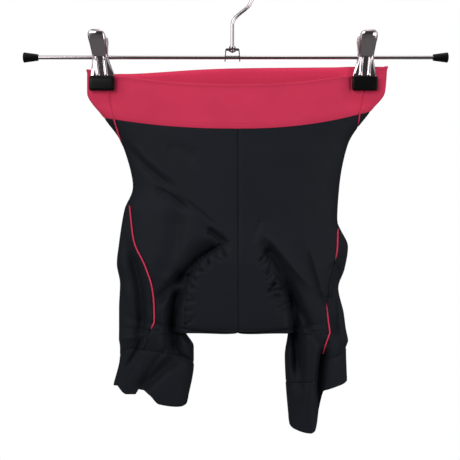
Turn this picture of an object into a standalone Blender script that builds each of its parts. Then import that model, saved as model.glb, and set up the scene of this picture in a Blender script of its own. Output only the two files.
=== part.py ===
"""Padded sports shorts that hang from a clip hanger.

Sizes are in millimetres and become metres when a mesh is made. X runs across the front, from the wearer's
right leg to the left one as seen from the front, -Y is the front, +Z is up. The origin is the inner crown of
the hook, where a rail carries it. A drop is measured downwards from the axis of the hanger's bar.
"""

import math

import bmesh
import bpy
import numpy as np
from mathutils import Matrix

MM = 0.001
PART_NAME = "sports_shorts_on_clip_hanger"

# Hanger
BAR_BELOW_CROWN = 86.8
BAR_RADIUS = 1.75
BAR_ENDS = (-192.0, 198.0)
CAP_LENGTH = 14.2
CAP_OUTER_RADIUS = 4.8
CAP_INNER_RADIUS = 2.9
CAP_TIPS = (-196.8, 203.0)
HOOK_WIRE_RADIUS = 1.65
HOOK_RADIUS = 22.0
HOOK_START_ANGLE = -33.0
HOOK_END_ANGLE = 205.0
HOOK_TURN_STEP = 8.5
# The stem and its short bend, as (x, height above the bar), before the round part begins.
HOOK_STEM = (
    (0.0, 5.8), (0.0, 22.0), (0.0, 31.0), (0.5, 34.0), (2.2, 36.8), (5.3, 39.9), (8.2, 42.3), (12.0, 45.3),
    (15.8, 49.0),
)
YOKE_TOP = 8.0
YOKE_THICKNESS = 1.1
YOKE_WIDTH = 8.0
YOKE_TOP_HALF, YOKE_SHOULDER_HALF, YOKE_LEG_HALF = 5.6, 6.6, 7.4
YOKE_LEG_BOTTOM = -3.2
RIVET_NECK = 2.4
RIVET_HEAD = 3.2
# Each clip: side, x of its feet, and how far its axis leans in X per height.
CLIPS = (
    ("left", -122.2, -0.125),
    ("right", 124.1, 0.085),
)
CLIP_LEAN_HEIGHT = 15.0
FOOT_SIZE = (24.0, 5.0, 13.2)
FOOT_DROP = 25.2
PIVOT_RADIUS = 3.0
PIVOT_LENGTH = 12.0

# Cloth
GAP = 0.3
SEAM_TRIM = 0.34
PANEL_WALL = 1.4
BAND_WALL = 1.7
PAD_WALL = 3.6
PIPING_RADIUS = 0.8
PIPING_LIFT = 0.6
EDGE_TURN = 2.0
TURN_WEIGHT = 9.0
# Where and how widely a clip presses the band's two layers together.
PINCH_DROP = 22.0
PINCH_HALF_WIDTH = 19.0
PINCH_HALF_HEIGHT = 25.0
# The left clip drags the top edge of the band's back down beside it.
TOP_DRAG = 5.0
TOP_DRAG_X = -104.0
TOP_DRAG_HALF_WIDTH = 70.0
# The middle of the crotch hangs a little lower than its sides.
CROTCH_SAG = 2.4
CROTCH_SAG_X = 5.0
CROTCH_SAG_HALF_WIDTH = 28.0

# Sections of the body, from the waist's top edge down to the leg openings.
# front and back: drop of the inner end; deep_front and deep_back: how far the wall stands out in Y.
# closed: 0 for an arc that is open at the centre seams, 1 for a ring round one leg.
# full: exponent of the curve.
SECTION_COLUMNS = ("name", "front", "back", "deep_front", "deep_back", "closed", "full")
SECTIONS = (
    ("top", 29, 9, 21, 10, 0.0, 1.5),
    ("band", 50, 34, 22, 14, 0.0, 1.5),
    ("waist", 69, 58, 22, 18, 0.0, 1.7),
    ("high", 95, 88, 24, 28, 0.0, 2.0),
    ("notch", 126, 127, 26, 38, 0.0, 2.2),
    ("hip", 153, 153, 28, 46, 0.0, 2.4),
    ("rise", 177, 186, 31, 52, 0.0, 2.4),
    ("shoulder", 197, 212, 33, 55, 0.0, 2.4),
    ("thigh", 217, 238, 33, 50, 0.05, 2.4),
    ("low", 253, 251, 31, 44, 0.1, 2.3),
    ("crotch", 256, 256, 26, 34, 1.0, 2.2),
    ("under", 257, 257, 27, 32, 1.0, 2.3),
    ("leg", 276, 276, 26, 31, 1.0, 2.3),
    ("seam", 288, 288, 23, 30, 1.0, 2.3),
    ("hem", 323, 323, 18, 30, 1.0, 2.3),
)
CROTCH_ROW, UNDER_ROW, SEAM_ROW, HEM_ROW = 10.0, 11.0, 13.0, 14.0
# Each half of the body: x of the inner end and of the side edge, drop of the side edge, and the shares of the
# way out at which the piped seam and the back seam lie (over 1 is behind the side edge).
HALF_COLUMNS = ("name", "inner", "side", "side_drop", "piped", "rear")
LEFT_HALF = (
    ("top", 5, -136, 12, 0.851, 1.12),
    ("band", 5, -136, 33, 0.851, 1.12),
    ("waist", 5, -120, 57, 0.923, 1.12),
    ("high", 5, -103, 82, 1.00, 1.15),
    ("notch", 5, -93, 121, 1.00, 1.20),
    ("hip", 5, -101, 144, 0.939, 1.22),
    ("rise", 5, -106, 175, 0.856, 1.24),
    ("shoulder", 5, -108, 194, 0.75, 1.24),
    ("thigh", 5, -105, 213, 0.713, 1.24),
    ("low", 5, -106, 236, 0.688, 1.24),
    ("crotch", 5, -106, 253, 0.727, 1.235),
    ("under", -45, -106, 264, 0.545, 1.40),
    ("leg", -37, -105, 275, 0.620, 1.40),
    ("seam", -37, -105, 283, 0.660, 1.40),
    ("hem", -43, -111, 309, 0.720, 1.40),
)
RIGHT_HALF = (
    ("top", 5, 145, 9, 0.851, 1.12),
    ("band", 5, 143, 32, 0.851, 1.12),
    ("waist", 5, 129, 51, 0.916, 1.12),
    ("high", 5, 108, 82, 1.00, 1.15),
    ("notch", 5, 100, 121, 1.00, 1.20),
    ("hip", 5, 98, 152, 0.985, 1.22),
    ("rise", 5, 108, 178, 0.89, 1.24),
    ("shoulder", 5, 105, 198, 0.885, 1.24),
    ("thigh", 5, 99, 217, 0.89, 1.24),
    ("low", 5, 104, 240, 0.833, 1.245),
    ("crotch", 5, 106, 255, 0.833, 1.245),
    ("under", 53, 108, 266, 0.63, 1.46),
    ("leg", 50, 107, 272, 0.61, 1.40),
    ("seam", 51, 106, 276, 0.617, 1.40),
    ("hem", 54, 107, 305, 0.600, 1.40),
)
# Drops of a leg band's seam and hem: round runs from 0 at the inseam, by 1 at the side edge, back to 2.
LEG_COLUMNS = ("round", "seam", "hem")
LEFT_LEG = (
    (0.00, 287, 323),
    (0.20, 281, 326),
    (0.43, 276, 323),
    (0.52, 274, 312),
    (0.57, 273, 309),
    (0.61, 273, 314),
    (0.70, 272, 314),
    (0.86, 275, 306),
    (1.00, 282, 308),
    (1.40, 290, 316),
    (1.70, 293, 322),
    (2.00, 287, 323),
)
RIGHT_LEG = (
    (0.00, 306, 343),
    (0.20, 304, 347),
    (0.42, 303, 350),
    (0.46, 302, 348),
    (0.54, 285, 311),
    (0.60, 281, 309),
    (0.75, 278, 306),
    (1.00, 272, 303),
    (1.40, 285, 316),
    (1.70, 297, 331),
    (2.00, 306, 343),
)
# Largest folds: face is -1 on the front and 1 on the back; the path runs through three points (x, drop);
# width is the half width on the inner side and outer side of the path; depth is how far the wall goes in.
FOLD_COLUMNS = ("name", "face", "x0", "d0", "x1", "d1", "x2", "d2", "width_in", "width_out", "depth")
FOLDS = (
    ("arch left", -1, -8, 178, -32, 190, -47, 220, 4, 9, 11),
    ("gully left", -1, -48, 212, -55, 246, -52, 284, 6, 6, 18),
    ("arch right", -1, 28, 178, 42, 195, 52, 225, 4, 7, 9),
    ("gully right", -1, 53, 214, 59, 255, 61, 305, 5, 5, 16),
    ("branch left", -1, -42, 200, -56, 214, -70, 232, 4, 5, 8),
    ("piped valley left", -1, -99, 172, -84, 227, -90, 282, 5, 6, 10),
    ("piped valley right", -1, 100, 190, 95, 222, 97, 278, 4, 4, 7),
    ("column edge", -1, 85, 268, 81, 300, 80, 345, 4, 4, 14),
    ("band drag", -1, -50, 278, -70, 296, -90, 314, 5, 6, 8),
    ("waist crease", -1, -99, 82, -78, 106, -54, 124, 4, 5, 2),
    ("hip crease", -1, -74, 123, -55, 133, -40, 145, 4, 5, 2),
    ("pinch", -1, -24, 161, -15, 167, -5, 175, 3, 5, 4),
    ("side sweep", -1, -51, 139, -55, 180, -64, 208, 8, 8, 3),
    ("right ridge", -1, 30, 165, 47, 186, 70, 213, 5, 5, -3),
    ("outer ridge", -1, 70, 172, 81, 204, 85, 226, 5, 5, -3),
    ("right gully top", -1, 47, 208, 63, 236, 71, 256, 4, 4, 5),
    ("slit", -1, 92, 222, 89, 230, 90, 238, 3, 3, 6),
    ("seat left", 1, -30, 200, -52, 222, -66, 262, 7, 9, 8),
    ("seat right", 1, 40, 200, 62, 222, 78, 262, 7, 9, 8),
    ("back drag left", 1, -90, 90, -70, 120, -40, 150, 7, 9, 5),
    ("back drag right", 1, 92, 88, 74, 118, 48, 152, 7, 9, 5),
    ("leg back left", 1, -80, 250, -78, 282, -84, 318, 7, 7, 8),
    ("leg back right", 1, 84, 252, 82, 288, 84, 325, 7, 7, 8),
)
# Rows of the mesh, as places between the sections counted from 0 at the top.
BAND_ROWS = (0.0, 0.4, 0.8, 1.2, 1.6, 1.994)
PANEL_ROWS = (
    2.006, 2.35, 2.7, 3.0, 3.4, 3.8, 4.2, 4.6, 5.0, 5.35, 5.7, 6.0, 6.35, 6.7, 7.0,
    7.35, 7.7, 8.0, 8.35, 8.7, 9.0, 9.35, 9.65, 10.0, 10.35, 10.7, 11.0, 11.4, 11.75, 12.1, 12.5, 12.94,
)
LEG_BAND_ROWS = (13.03, 13.25, 13.5, 13.75, 14.0)
# The pad's centre line, from the arch on the front through the crotch to the back, and its two edges.
PAD_LINE_COLUMNS = ("drop", "y", "left", "right")
PAD_LINE = (
    (184, -22, -5, 15),
    (200, -25, -20, 30),
    (220, -25, -31, 39),
    (238, -20, -39, 45),
    (249, -8, -38, 44),
    (251, 4, -36, 42),
    (249, 18, -36, 42),
    (242, 30, -37, 43),
    (228, 38, -36, 42),
    (210, 41, -24, 34),
)
PAD_EDGE_CURL = 1.0
PAD_ROWS = 19
FRONT_COLUMNS = 16
SIDE_COLUMNS = 7
BACK_COLUMNS = 12
BAND_FRONT_COLUMNS = 34
BAND_BACK_COLUMNS = 38
LEG_BAND_COLUMNS = 32
PAD_COLUMNS = 9

SIDES = {"left": (-1, LEFT_HALF, LEFT_LEG), "right": (1, RIGHT_HALF, RIGHT_LEG)}

for leftover in list(bpy.data.objects):
    bpy.data.objects.remove(leftover, do_unlink=True)
collection = bpy.data.collections.new(PART_NAME)
bpy.context.scene.collection.children.link(collection)
cutters = bpy.data.collections.new("cutters")
bpy.context.scene.collection.children.link(cutters)


def material(name, colour, roughness, metallic):
    """A Principled material from a linear colour."""
    made = bpy.data.materials.new(name)
    made.use_nodes = True
    shader = made.node_tree.nodes["Principled BSDF"]
    shader.inputs["Base Color"].default_value = (*colour, 1.0)
    shader.inputs["Roughness"].default_value = roughness
    shader.inputs["Metallic"].default_value = metallic
    return made


BLACK_KNIT = material("black_knit", (0.012, 0.014, 0.018), 0.75, 0.0)
RASPBERRY_KNIT = material("raspberry_knit", (0.53, 0.035, 0.085), 0.7, 0.0)
PAD_FOAM = material("pad_foam", (0.05, 0.05, 0.055), 0.9, 0.0)
CHROME = material("chrome", (0.8, 0.8, 0.82), 0.12, 1.0)
RUBBER = material("black_rubber", (0.008, 0.009, 0.009), 0.55, 0.0)


def smooth_table(places, values, at):
    """A curve through a table that never overshoots it (monotone cubic)."""
    places = np.asarray(places, float)
    values = np.asarray(values, float)
    step = np.diff(places)
    slope = np.diff(values) / step
    tangent = np.zeros(len(places))
    tangent[0] = slope[0]
    tangent[-1] = slope[-1]
    for i in range(1, len(places) - 1):
        if slope[i - 1] * slope[i] > 0:
            before = 2 * step[i] + step[i - 1]
            after = step[i] + 2 * step[i - 1]
            tangent[i] = (before + after) / (before / slope[i - 1] + after / slope[i])
    at = np.clip(np.asarray(at, float), places[0], places[-1])
    index = np.clip(np.searchsorted(places, at, side="right") - 1, 0, len(step) - 1)
    h = step[index]
    t = (at - places[index]) / h
    return (
        (1 + 2 * t) * (1 - t) ** 2 * values[index]
        + t * (1 - t) ** 2 * h * tangent[index]
        + t * t * (3 - 2 * t) * values[index + 1]
        + t * t * (t - 1) * h * tangent[index + 1]
    )


def column(table, columns, name, at):
    """One named column of a table of sections, read at a place between them."""
    index = columns.index(name)
    return smooth_table(range(len(table)), [row[index] for row in table], at)


def section(name, at):
    return column(SECTIONS, SECTION_COLUMNS, name, at)


def half(side, name, at):
    return column(SIDES[side][1], HALF_COLUMNS, name, at)


def leg(side, name, around):
    table = SIDES[side][2]
    index = LEG_COLUMNS.index(name)
    return smooth_table([row[0] for row in table], [row[index] for row in table], around)


def smoothstep(value):
    value = np.clip(value, 0.0, 1.0)
    return value * value * (3 - 2 * value)


def fold_paths(face):
    """The folds of one face as arrays: each path's short runs, and its widths, depth and side."""
    steps = np.linspace(0.0, 1.0, FOLD_RUNS + 1)
    paths, sizes = [], []
    for row in FOLDS:
        fold = dict(zip(FOLD_COLUMNS, row))
        if fold["face"] != face:
            continue
        middle_x = 2 * fold["x1"] - 0.5 * (fold["x0"] + fold["x2"])
        middle_d = 2 * fold["d1"] - 0.5 * (fold["d0"] + fold["d2"])
        path_x = (1 - steps) ** 2 * fold["x0"] + 2 * steps * (1 - steps) * middle_x + steps**2 * fold["x2"]
        path_d = (1 - steps) ** 2 * fold["d0"] + 2 * steps * (1 - steps) * middle_d + steps**2 * fold["d2"]
        paths.append(np.stack([path_x, path_d]))
        away = math.copysign(1.0, fold["x0"] + fold["x2"] - 10.0)
        sizes.append((fold["width_in"], fold["width_out"], fold["depth"], away))
    return np.array(paths), np.array(sizes)


FOLD_RUNS = 10
FOLD_PATHS = {-1: fold_paths(-1), 1: fold_paths(1)}


def fold_depth(face, x, drop):
    """How far the folds push the wall in at each point of one face."""
    paths, sizes = FOLD_PATHS[face]
    start = paths[:, :, :-1, None]
    run = paths[:, :, 1:, None] - start
    length = (run**2).sum(axis=1)
    from_x = x - start[:, 0]
    from_d = drop - start[:, 1]
    t = ((from_x * run[:, 0] + from_d * run[:, 1]) / length).clip(0.0, 1.0)
    away_x = from_x - t * run[:, 0]
    away_d = from_d - t * run[:, 1]
    distance = away_x**2 + away_d**2
    nearest = distance.argmin(axis=1)[:, None]
    squared = np.take_along_axis(distance, nearest, axis=1)[:, 0]
    along = (nearest + np.take_along_axis(t, nearest, axis=1))[:, 0] / FOLD_RUNS
    outward = np.take_along_axis(away_x, nearest, axis=1)[:, 0] * sizes[:, 3:4]
    width = np.where(outward > 0, sizes[:, 1:2], sizes[:, 0:1])
    ends = smoothstep(along / 0.22) * smoothstep((1 - along) / 0.22)
    return (sizes[:, 2:3] * (0.25 + 0.75 * ends) * np.exp(-squared / width**2)).sum(axis=0)


def curve_shares(side, at, around):
    """Share of the way out to the side edge, and share of the section's depth, along one row."""
    turn = np.where(around <= 1.0, around, 2.0 - around)
    closed = smoothstep(section("closed", at))
    full = section("full", at)
    quarter = turn * math.pi / 2
    share_open = np.sin(quarter) ** (2 / full)
    out_open = np.cos(quarter).clip(0) ** (2 / full)
    whole = turn * math.pi
    share_ring = 0.5 - 0.5 * np.sign(np.cos(whole)) * np.abs(np.cos(whole)) ** (2 / full)
    out_ring = np.sin(whole).clip(0) ** (2 / full)
    return (1 - closed) * share_open + closed * share_ring, (1 - closed) * out_open + closed * out_ring


def surface(side, at, around, folded=True):
    """Points of the cloth's middle: at runs down the sections, around from the front centre to the back."""
    around = np.asarray(around, float)
    front = around <= 1.0
    face = np.where(front, -1.0, 1.0)
    share, out = curve_shares(side, at, around)
    inner = half(side, "inner", at)
    edge = half(side, "side", at)
    x = inner + (edge - inner) * share
    # Past the crotch the front and the back meet at one inseam.
    back_drop = section("front" if at >= CROTCH_ROW else "back", at)
    top_drop = np.where(front, section("front", at), back_drop)
    drop = top_drop + (half(side, "side_drop", at) - top_drop) * share**2.2
    if at > UNDER_ROW:
        under = section("front", UNDER_ROW)
        under = under + (half(side, "side_drop", UNDER_ROW) - under) * share**2.2
        seam = leg(side, "seam", around)
        hem = leg(side, "hem", around)
        down_leg = min((at - UNDER_ROW) / (SEAM_ROW - UNDER_ROW), 1)
        down_band = max((at - SEAM_ROW) / (HEM_ROW - SEAM_ROW), 0)
        drop = under + (seam - under) * down_leg + (hem - seam) * down_band
    if at < 1.0:
        beside_clip = np.exp(-(((x - TOP_DRAG_X) / TOP_DRAG_HALF_WIDTH) ** 2))
        beside_clip = beside_clip * smoothstep((x - half(side, "side", at)) / 20)
        drop = drop + np.where(front | (x > 0), 0.0, TOP_DRAG * (1 - at) * beside_clip)
    sag = CROTCH_SAG * smoothstep(at - CROTCH_ROW + 1)
    drop = drop + sag * np.exp(-(((x - CROTCH_SAG_X) / CROTCH_SAG_HALF_WIDTH) ** 2))
    deep = np.where(front, section("deep_front", at), section("deep_back", at))
    relief = np.zeros_like(x)
    if folded:
        relief[front] = fold_depth(-1, x[front], drop[front])
        relief[~front] = fold_depth(1, x[~front], drop[~front])
    away = deep * out * (1 - clip_pinch(x, drop)) - relief * np.clip(1.6 * out, 0.0, 1.0)
    if section("closed", at) < 0.5:
        # Both layers keep apart at the side edge, where the cloth turns round.
        inset = 1 - np.minimum(np.abs(edge - x) / EDGE_TURN, 1)
        away = np.maximum(away, np.sqrt(np.clip(1 - inset**2, 0, 1)) * EDGE_TURN)
    return np.stack([x, face * away, -BAR_BELOW_CROWN - drop], axis=-1)


def clip_pinch(x, drop):
    """1 where a clip presses the band's layers together, 0 away from the clips."""
    total = np.zeros_like(x)
    for _, centre, _ in CLIPS:
        beside = np.exp(-((np.abs(x - centre) / PINCH_HALF_WIDTH) ** 4))
        beyond = np.where(np.abs(x) > abs(centre), 1.0, beside)
        level = np.exp(-((np.abs(drop - PINCH_DROP) / PINCH_HALF_HEIGHT) ** 4))
        total = total + np.where(x * centre > 0, beyond, 0.0) * level
    return np.clip(total, 0, 1)


def seam_place(side, at, name):
    """Where a lengthwise seam crosses one row, as a value of around."""
    table = [dict(zip(HALF_COLUMNS, row)) for row in SIDES[side][1]]
    from_edge = [(1 - row[name]) * abs(row["side"] - row["inner"]) for row in table]
    reach = abs(half(side, "side", at) - half(side, "inner", at))
    wanted = 1 - smooth_table(range(len(table)), from_edge, at) / reach
    around = np.linspace(0.0, 2.0, 801)
    share, _ = curve_shares(side, at, around)
    progress = np.where(around <= 1.0, share, 2.0 - share)
    return float(np.interp(float(wanted), np.maximum.accumulate(progress), around))


def spread(side, at, start, end, count, trim_start, trim_end):
    """count values of around between two places, closer together where the cloth turns."""
    around = np.linspace(start, end, 241)
    points = surface(side, at, around)
    step = np.diff(points, axis=0)
    length = np.linalg.norm(step, axis=1)
    heading = step / np.maximum(length, 1e-9)[:, None]
    turn = np.arccos(np.clip((heading[1:] * heading[:-1]).sum(axis=1), -1, 1))
    weight = length.copy()
    weight[1:] += TURN_WEIGHT * turn
    run = np.concatenate([[0.0], np.cumsum(length)])
    first = np.interp(trim_start, run, around)
    last = np.interp(run[-1] - trim_end, run, around)
    measure = np.concatenate([[0.0], np.cumsum(weight)])
    low = np.interp(first, around, measure)
    high = np.interp(last, around, measure)
    return np.interp(np.linspace(low, high, count), measure, around)


def normals(side, at, around, folded=False):
    """Outward directions of the body's sections, so that a wall never crosses itself inside a fold."""
    small = 0.012
    before = surface(side, at, np.clip(around - small, 0.0, 2.0), folded)
    after = surface(side, at, np.clip(around + small, 0.0, 2.0), folded)
    above = surface(side, max(at - 0.05, 0.0), around, folded)
    below = surface(side, min(at + 0.05, HEM_ROW), around, folded)
    across = np.cross(after - before, below - above) * -SIDES[side][0]
    return across / np.maximum(np.linalg.norm(across, axis=1), 1e-9)[:, None]


def seam_normal(at, side, end):
    """Outward direction that the pieces on both sides of a seam share."""
    if 0.0 < end < 2.0:
        meeting = ((side, end),)
    elif at > CROTCH_ROW:
        meeting = ((side, 0.0), (side, 2.0))
    elif at == CROTCH_ROW:
        meeting = (("left", 0.0), ("right", 0.0), ("left", 2.0), ("right", 2.0))
    else:
        meeting = (("left", end), ("right", end))
    total = sum(normals(which, at, np.array([place]))[0] for which, place in meeting)
    return total / max(np.linalg.norm(total), 1e-9)


def cloth_row(side, at, start, end, count, trim_start=0.0, trim_end=0.0):
    """Points and outward directions of one row between two values of around."""
    around = spread(side, at, start, end, count, trim_start, trim_end)
    outward = normals(side, at, around)
    outward[0] = seam_normal(at, side, start)
    outward[-1] = seam_normal(at, side, end)
    return surface(side, at, around), outward


def closed_body(name, faces, one, other, finish):
    """A wall between two copies of an open surface, joined round the surface's edge."""
    count = len(one)
    edges = {}
    for face in faces:
        for a, b in zip(face, face[1:] + face[:1]):
            edges[(a, b)] = True
    rim = [(b, a, a + count, b + count) for a, b in edges if (b, a) not in edges]
    everything = [tuple(face) for face in faces]
    everything += [tuple(i + count for i in reversed(face)) for face in faces]
    everything += rim
    points = np.concatenate([one, other])
    mesh = bpy.data.meshes.new(name)
    mesh.from_pydata((points * MM).tolist(), [], everything)
    if signed_volume(points, everything) < 0:
        mesh.flip_normals()
    return place(name, mesh, finish)


def signed_volume(points, faces):
    total = 0.0
    for face in faces:
        for i in range(1, len(face) - 1):
            total += np.dot(points[face[0]], np.cross(points[face[i]], points[face[i + 1]]))
    return total


def place(name, mesh, finish, smooth=True):
    made = bpy.data.objects.new(name, mesh)
    made.data.materials.append(finish)
    collection.objects.link(made)
    if smooth and isinstance(mesh, bpy.types.Mesh):
        mesh.shade_smooth()
        mesh.set_sharp_from_angle(angle=math.radians(50))
    return made


def grid_faces(rows, columns):
    faces = []
    for i in range(rows - 1):
        for j in range(columns - 1):
            a = i * columns + j
            faces.append([a, a + 1, a + columns + 1, a + columns])
    return faces


def cloth_wall(name, rows, wall, finish):
    """A panel from rows of (points, outward directions)."""
    points = np.concatenate([row[0] for row in rows])
    outward = np.concatenate([row[1] for row in rows])
    faces = grid_faces(len(rows), len(rows[0][0]))
    return closed_body(name, faces, points - outward * wall / 2, points + outward * wall / 2, finish)


def panel_rows(side, ats, first, last, count):
    """Rows of one panel between two seams, each named as in a half's table, or None for a centre seam."""
    rows = []
    for at in ats:
        start = 0.0 if first is None else seam_place(side, at, first)
        end = 2.0 if last is None else seam_place(side, at, last)
        rows.append(cloth_row(side, at, start, end, count, SEAM_TRIM, SEAM_TRIM))
    return rows


def joined(left, right):
    """Rows that run from one half into the other through the centre."""
    points = np.concatenate([left[0][::-1], right[0][1:]])
    outward = np.concatenate([left[1][::-1], right[1][1:]])
    middle = len(left[0]) - 1
    outward[middle] = left[1][0] + right[1][0]
    outward[middle] /= np.linalg.norm(outward[middle])
    return points, outward


def make_waistband():
    """Front band between the side seams, and the back band that goes round both side edges."""
    front, back = [], []
    for at in BAND_ROWS:
        halves, rears = [], []
        for side in ("left", "right"):
            seam = seam_place(side, at, "piped")
            halves.append(cloth_row(side, at, 0.0, seam, BAND_FRONT_COLUMNS // 2, 0.0, GAP / 2))
            points, outward = cloth_row(side, at, seam, 2.0, BAND_BACK_COLUMNS // 2, GAP / 2, 0.0)
            rears.append((points[::-1], outward[::-1]))
        front.append(joined(*halves))
        back.append(joined(*rears))
    cloth_wall("waistband_front", front, BAND_WALL, RASPBERRY_KNIT)
    cloth_wall("waistband_back", back, BAND_WALL, RASPBERRY_KNIT)


def make_panels(side):
    front = panel_rows(side, PANEL_ROWS, None, "piped", FRONT_COLUMNS)
    cloth_wall(f"front_{side}", front, PANEL_WALL, BLACK_KNIT)
    middle = panel_rows(side, PANEL_ROWS, "piped", "rear", SIDE_COLUMNS)
    cloth_wall(f"side_{side}", middle, PANEL_WALL, BLACK_KNIT)
    rear = panel_rows(side, PANEL_ROWS, "rear", None, BACK_COLUMNS)
    cloth_wall(f"back_{side}", rear, PANEL_WALL, BLACK_KNIT)
    band = panel_rows(side, LEG_BAND_ROWS, None, None, LEG_BAND_COLUMNS)
    cloth_wall(f"leg_band_{side}", band, BAND_WALL, BLACK_KNIT)


def make_piping(side):
    """A round cord on the seam between the front and side panels, lifted off both."""
    centres = []
    for at in PANEL_ROWS[:-2]:
        around = np.array([seam_place(side, at, "piped")])
        points = surface(side, at, around)
        outward = normals(side, at, around, folded=True)
        centres.append((points + outward * (PANEL_WALL / 2 + PIPING_LIFT + PIPING_RADIUS))[0])
    tube(f"piping_{side}", centres, PIPING_RADIUS, RASPBERRY_KNIT, 1)


def make_pad():
    """The pad inside the crotch: an arch behind the front panels, through the crotch and up the back."""
    line = dict(zip(PAD_LINE_COLUMNS, zip(*PAD_LINE)))
    stops = range(len(PAD_LINE))
    rows = []
    for place in np.linspace(0, len(PAD_LINE) - 1, PAD_ROWS):
        low, high = max(place - 0.1, 0), min(place + 0.1, len(PAD_LINE) - 1)
        here = {name: smooth_table(stops, line[name], place) for name in PAD_LINE_COLUMNS}
        slope_y, slope_drop = (
            smooth_table(stops, line[name], high) - smooth_table(stops, line[name], low)
            for name in ("y", "drop")
        )
        length = math.hypot(slope_y, slope_drop)
        # The outer side is the front one on the way down and the lower one underneath.
        outward = np.array([0.0, -slope_drop / length, -slope_y / length])
        across = np.linspace(-1, 1, PAD_COLUMNS)[:, None]
        centre = (here["left"] + here["right"]) / 2
        reach = (here["right"] - here["left"]) / 2
        x = centre + across * reach
        y = np.full_like(x, here["y"])
        z = np.full_like(x, -BAR_BELOW_CROWN - here["drop"])
        points = np.hstack([x, y, z]) - outward * PAD_EDGE_CURL * across**4
        rows.append((points, np.tile(outward, (PAD_COLUMNS, 1))))
    cloth_wall("seat_pad", rows, PAD_WALL, PAD_FOAM)


def tube(name, centres, radius, finish, resolution):
    """A round rod along a list of points, with closed ends."""
    curve = bpy.data.curves.new(name, "CURVE")
    curve.dimensions = "3D"
    curve.bevel_depth = radius * MM
    curve.bevel_resolution = resolution
    curve.use_fill_caps = True
    line = curve.splines.new("POLY")
    line.points.add(len(centres) - 1)
    for point, centre in zip(line.points, centres):
        point.co = (*(float(value) * MM for value in centre), 1.0)
    return place(name, curve, finish)


def turned(name, profile, finish, steps=24):
    """A body turned about Z from (radius, height) points that run down its outer side."""
    mesh = bpy.data.meshes.new(name)
    corners = [(radius * MM, 0.0, height * MM) for radius, height in profile]
    closed = profile[0][0] > 0
    links = [(i, i + 1) for i in range(len(corners) - 1)]
    if closed:
        links.append((len(corners) - 1, 0))
    mesh.from_pydata(corners, links, [])
    made = bpy.data.objects.new(name, mesh)
    made.data.materials.append(finish)
    collection.objects.link(made)
    screw = made.modifiers.new("turn", "SCREW")
    screw.steps = steps
    screw.render_steps = steps
    screw.use_merge_vertices = True
    screw.merge_threshold = 0.00001
    screw.use_smooth_shade = True
    return made


def make_bar():
    length = (BAR_ENDS[1] - BAR_ENDS[0]) * MM
    centre = ((BAR_ENDS[0] + BAR_ENDS[1]) / 2 * MM, 0, -BAR_BELOW_CROWN * MM)
    bpy.ops.mesh.primitive_cylinder_add(
        vertices=20, radius=BAR_RADIUS * MM, depth=length, location=centre, rotation=(0, math.pi / 2, 0)
    )
    bar = bpy.context.object
    bar.name = "hanger_bar"
    bar.data.materials.append(CHROME)
    for holder in list(bar.users_collection):
        holder.objects.unlink(bar)
    collection.objects.link(bar)
    for side, tip, bar_end in (("left", CAP_TIPS[0], BAR_ENDS[0]), ("right", CAP_TIPS[1], BAR_ENDS[1])):
        bore = BAR_RADIUS + GAP
        floor = CAP_LENGTH - abs(tip - bar_end) + GAP
        cap = turned(
            f"cap_{side}",
            [(0, CAP_LENGTH), (CAP_OUTER_RADIUS - 0.8, CAP_LENGTH), (CAP_OUTER_RADIUS, CAP_LENGTH - 0.8),
             (CAP_INNER_RADIUS, 0), (bore, 0), (bore, floor), (0, floor)],
            RUBBER, 20,
        )
        direction = 1 if tip > 0 else -1
        cap.rotation_euler = (0, direction * math.pi / 2, 0)
        cap.location = ((tip - direction * CAP_LENGTH) * MM, 0, -BAR_BELOW_CROWN * MM)


def hook_route():
    """Centre line of the hook: up the stem, a short bend outwards, then round the crown to the tip."""
    centre_z = HOOK_WIRE_RADIUS - HOOK_RADIUS
    route = [(x, 0, -BAR_BELOW_CROWN + rise) for x, rise in HOOK_STEM]
    angle = HOOK_START_ANGLE
    while angle <= HOOK_END_ANGLE:
        turn = math.radians(angle)
        route.append((HOOK_RADIUS * math.cos(turn), 0, centre_z + HOOK_RADIUS * math.sin(turn)))
        angle += HOOK_TURN_STEP
    return route


def make_hook():
    tube("hanger_hook", hook_route(), HOOK_WIRE_RADIUS, CHROME, 2)
    bore = HOOK_WIRE_RADIUS + GAP
    above = YOKE_TOP + GAP
    below = YOKE_TOP - YOKE_THICKNESS - GAP
    rivet = turned(
        "hook_rivet",
        [(bore, above + 2.5), (RIVET_HEAD - 0.6, above + 2.5), (RIVET_HEAD, above + 1.9), (RIVET_HEAD, above),
         (RIVET_NECK, above), (RIVET_NECK, below), (RIVET_HEAD, below), (RIVET_HEAD, below - 0.9),
         (RIVET_HEAD - 0.6, below - 1.4), (bore, below - 1.4)],
        CHROME, 16,
    )
    rivet.location = (0, 0, -BAR_BELOW_CROWN * MM)
    make_yoke()


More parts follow.
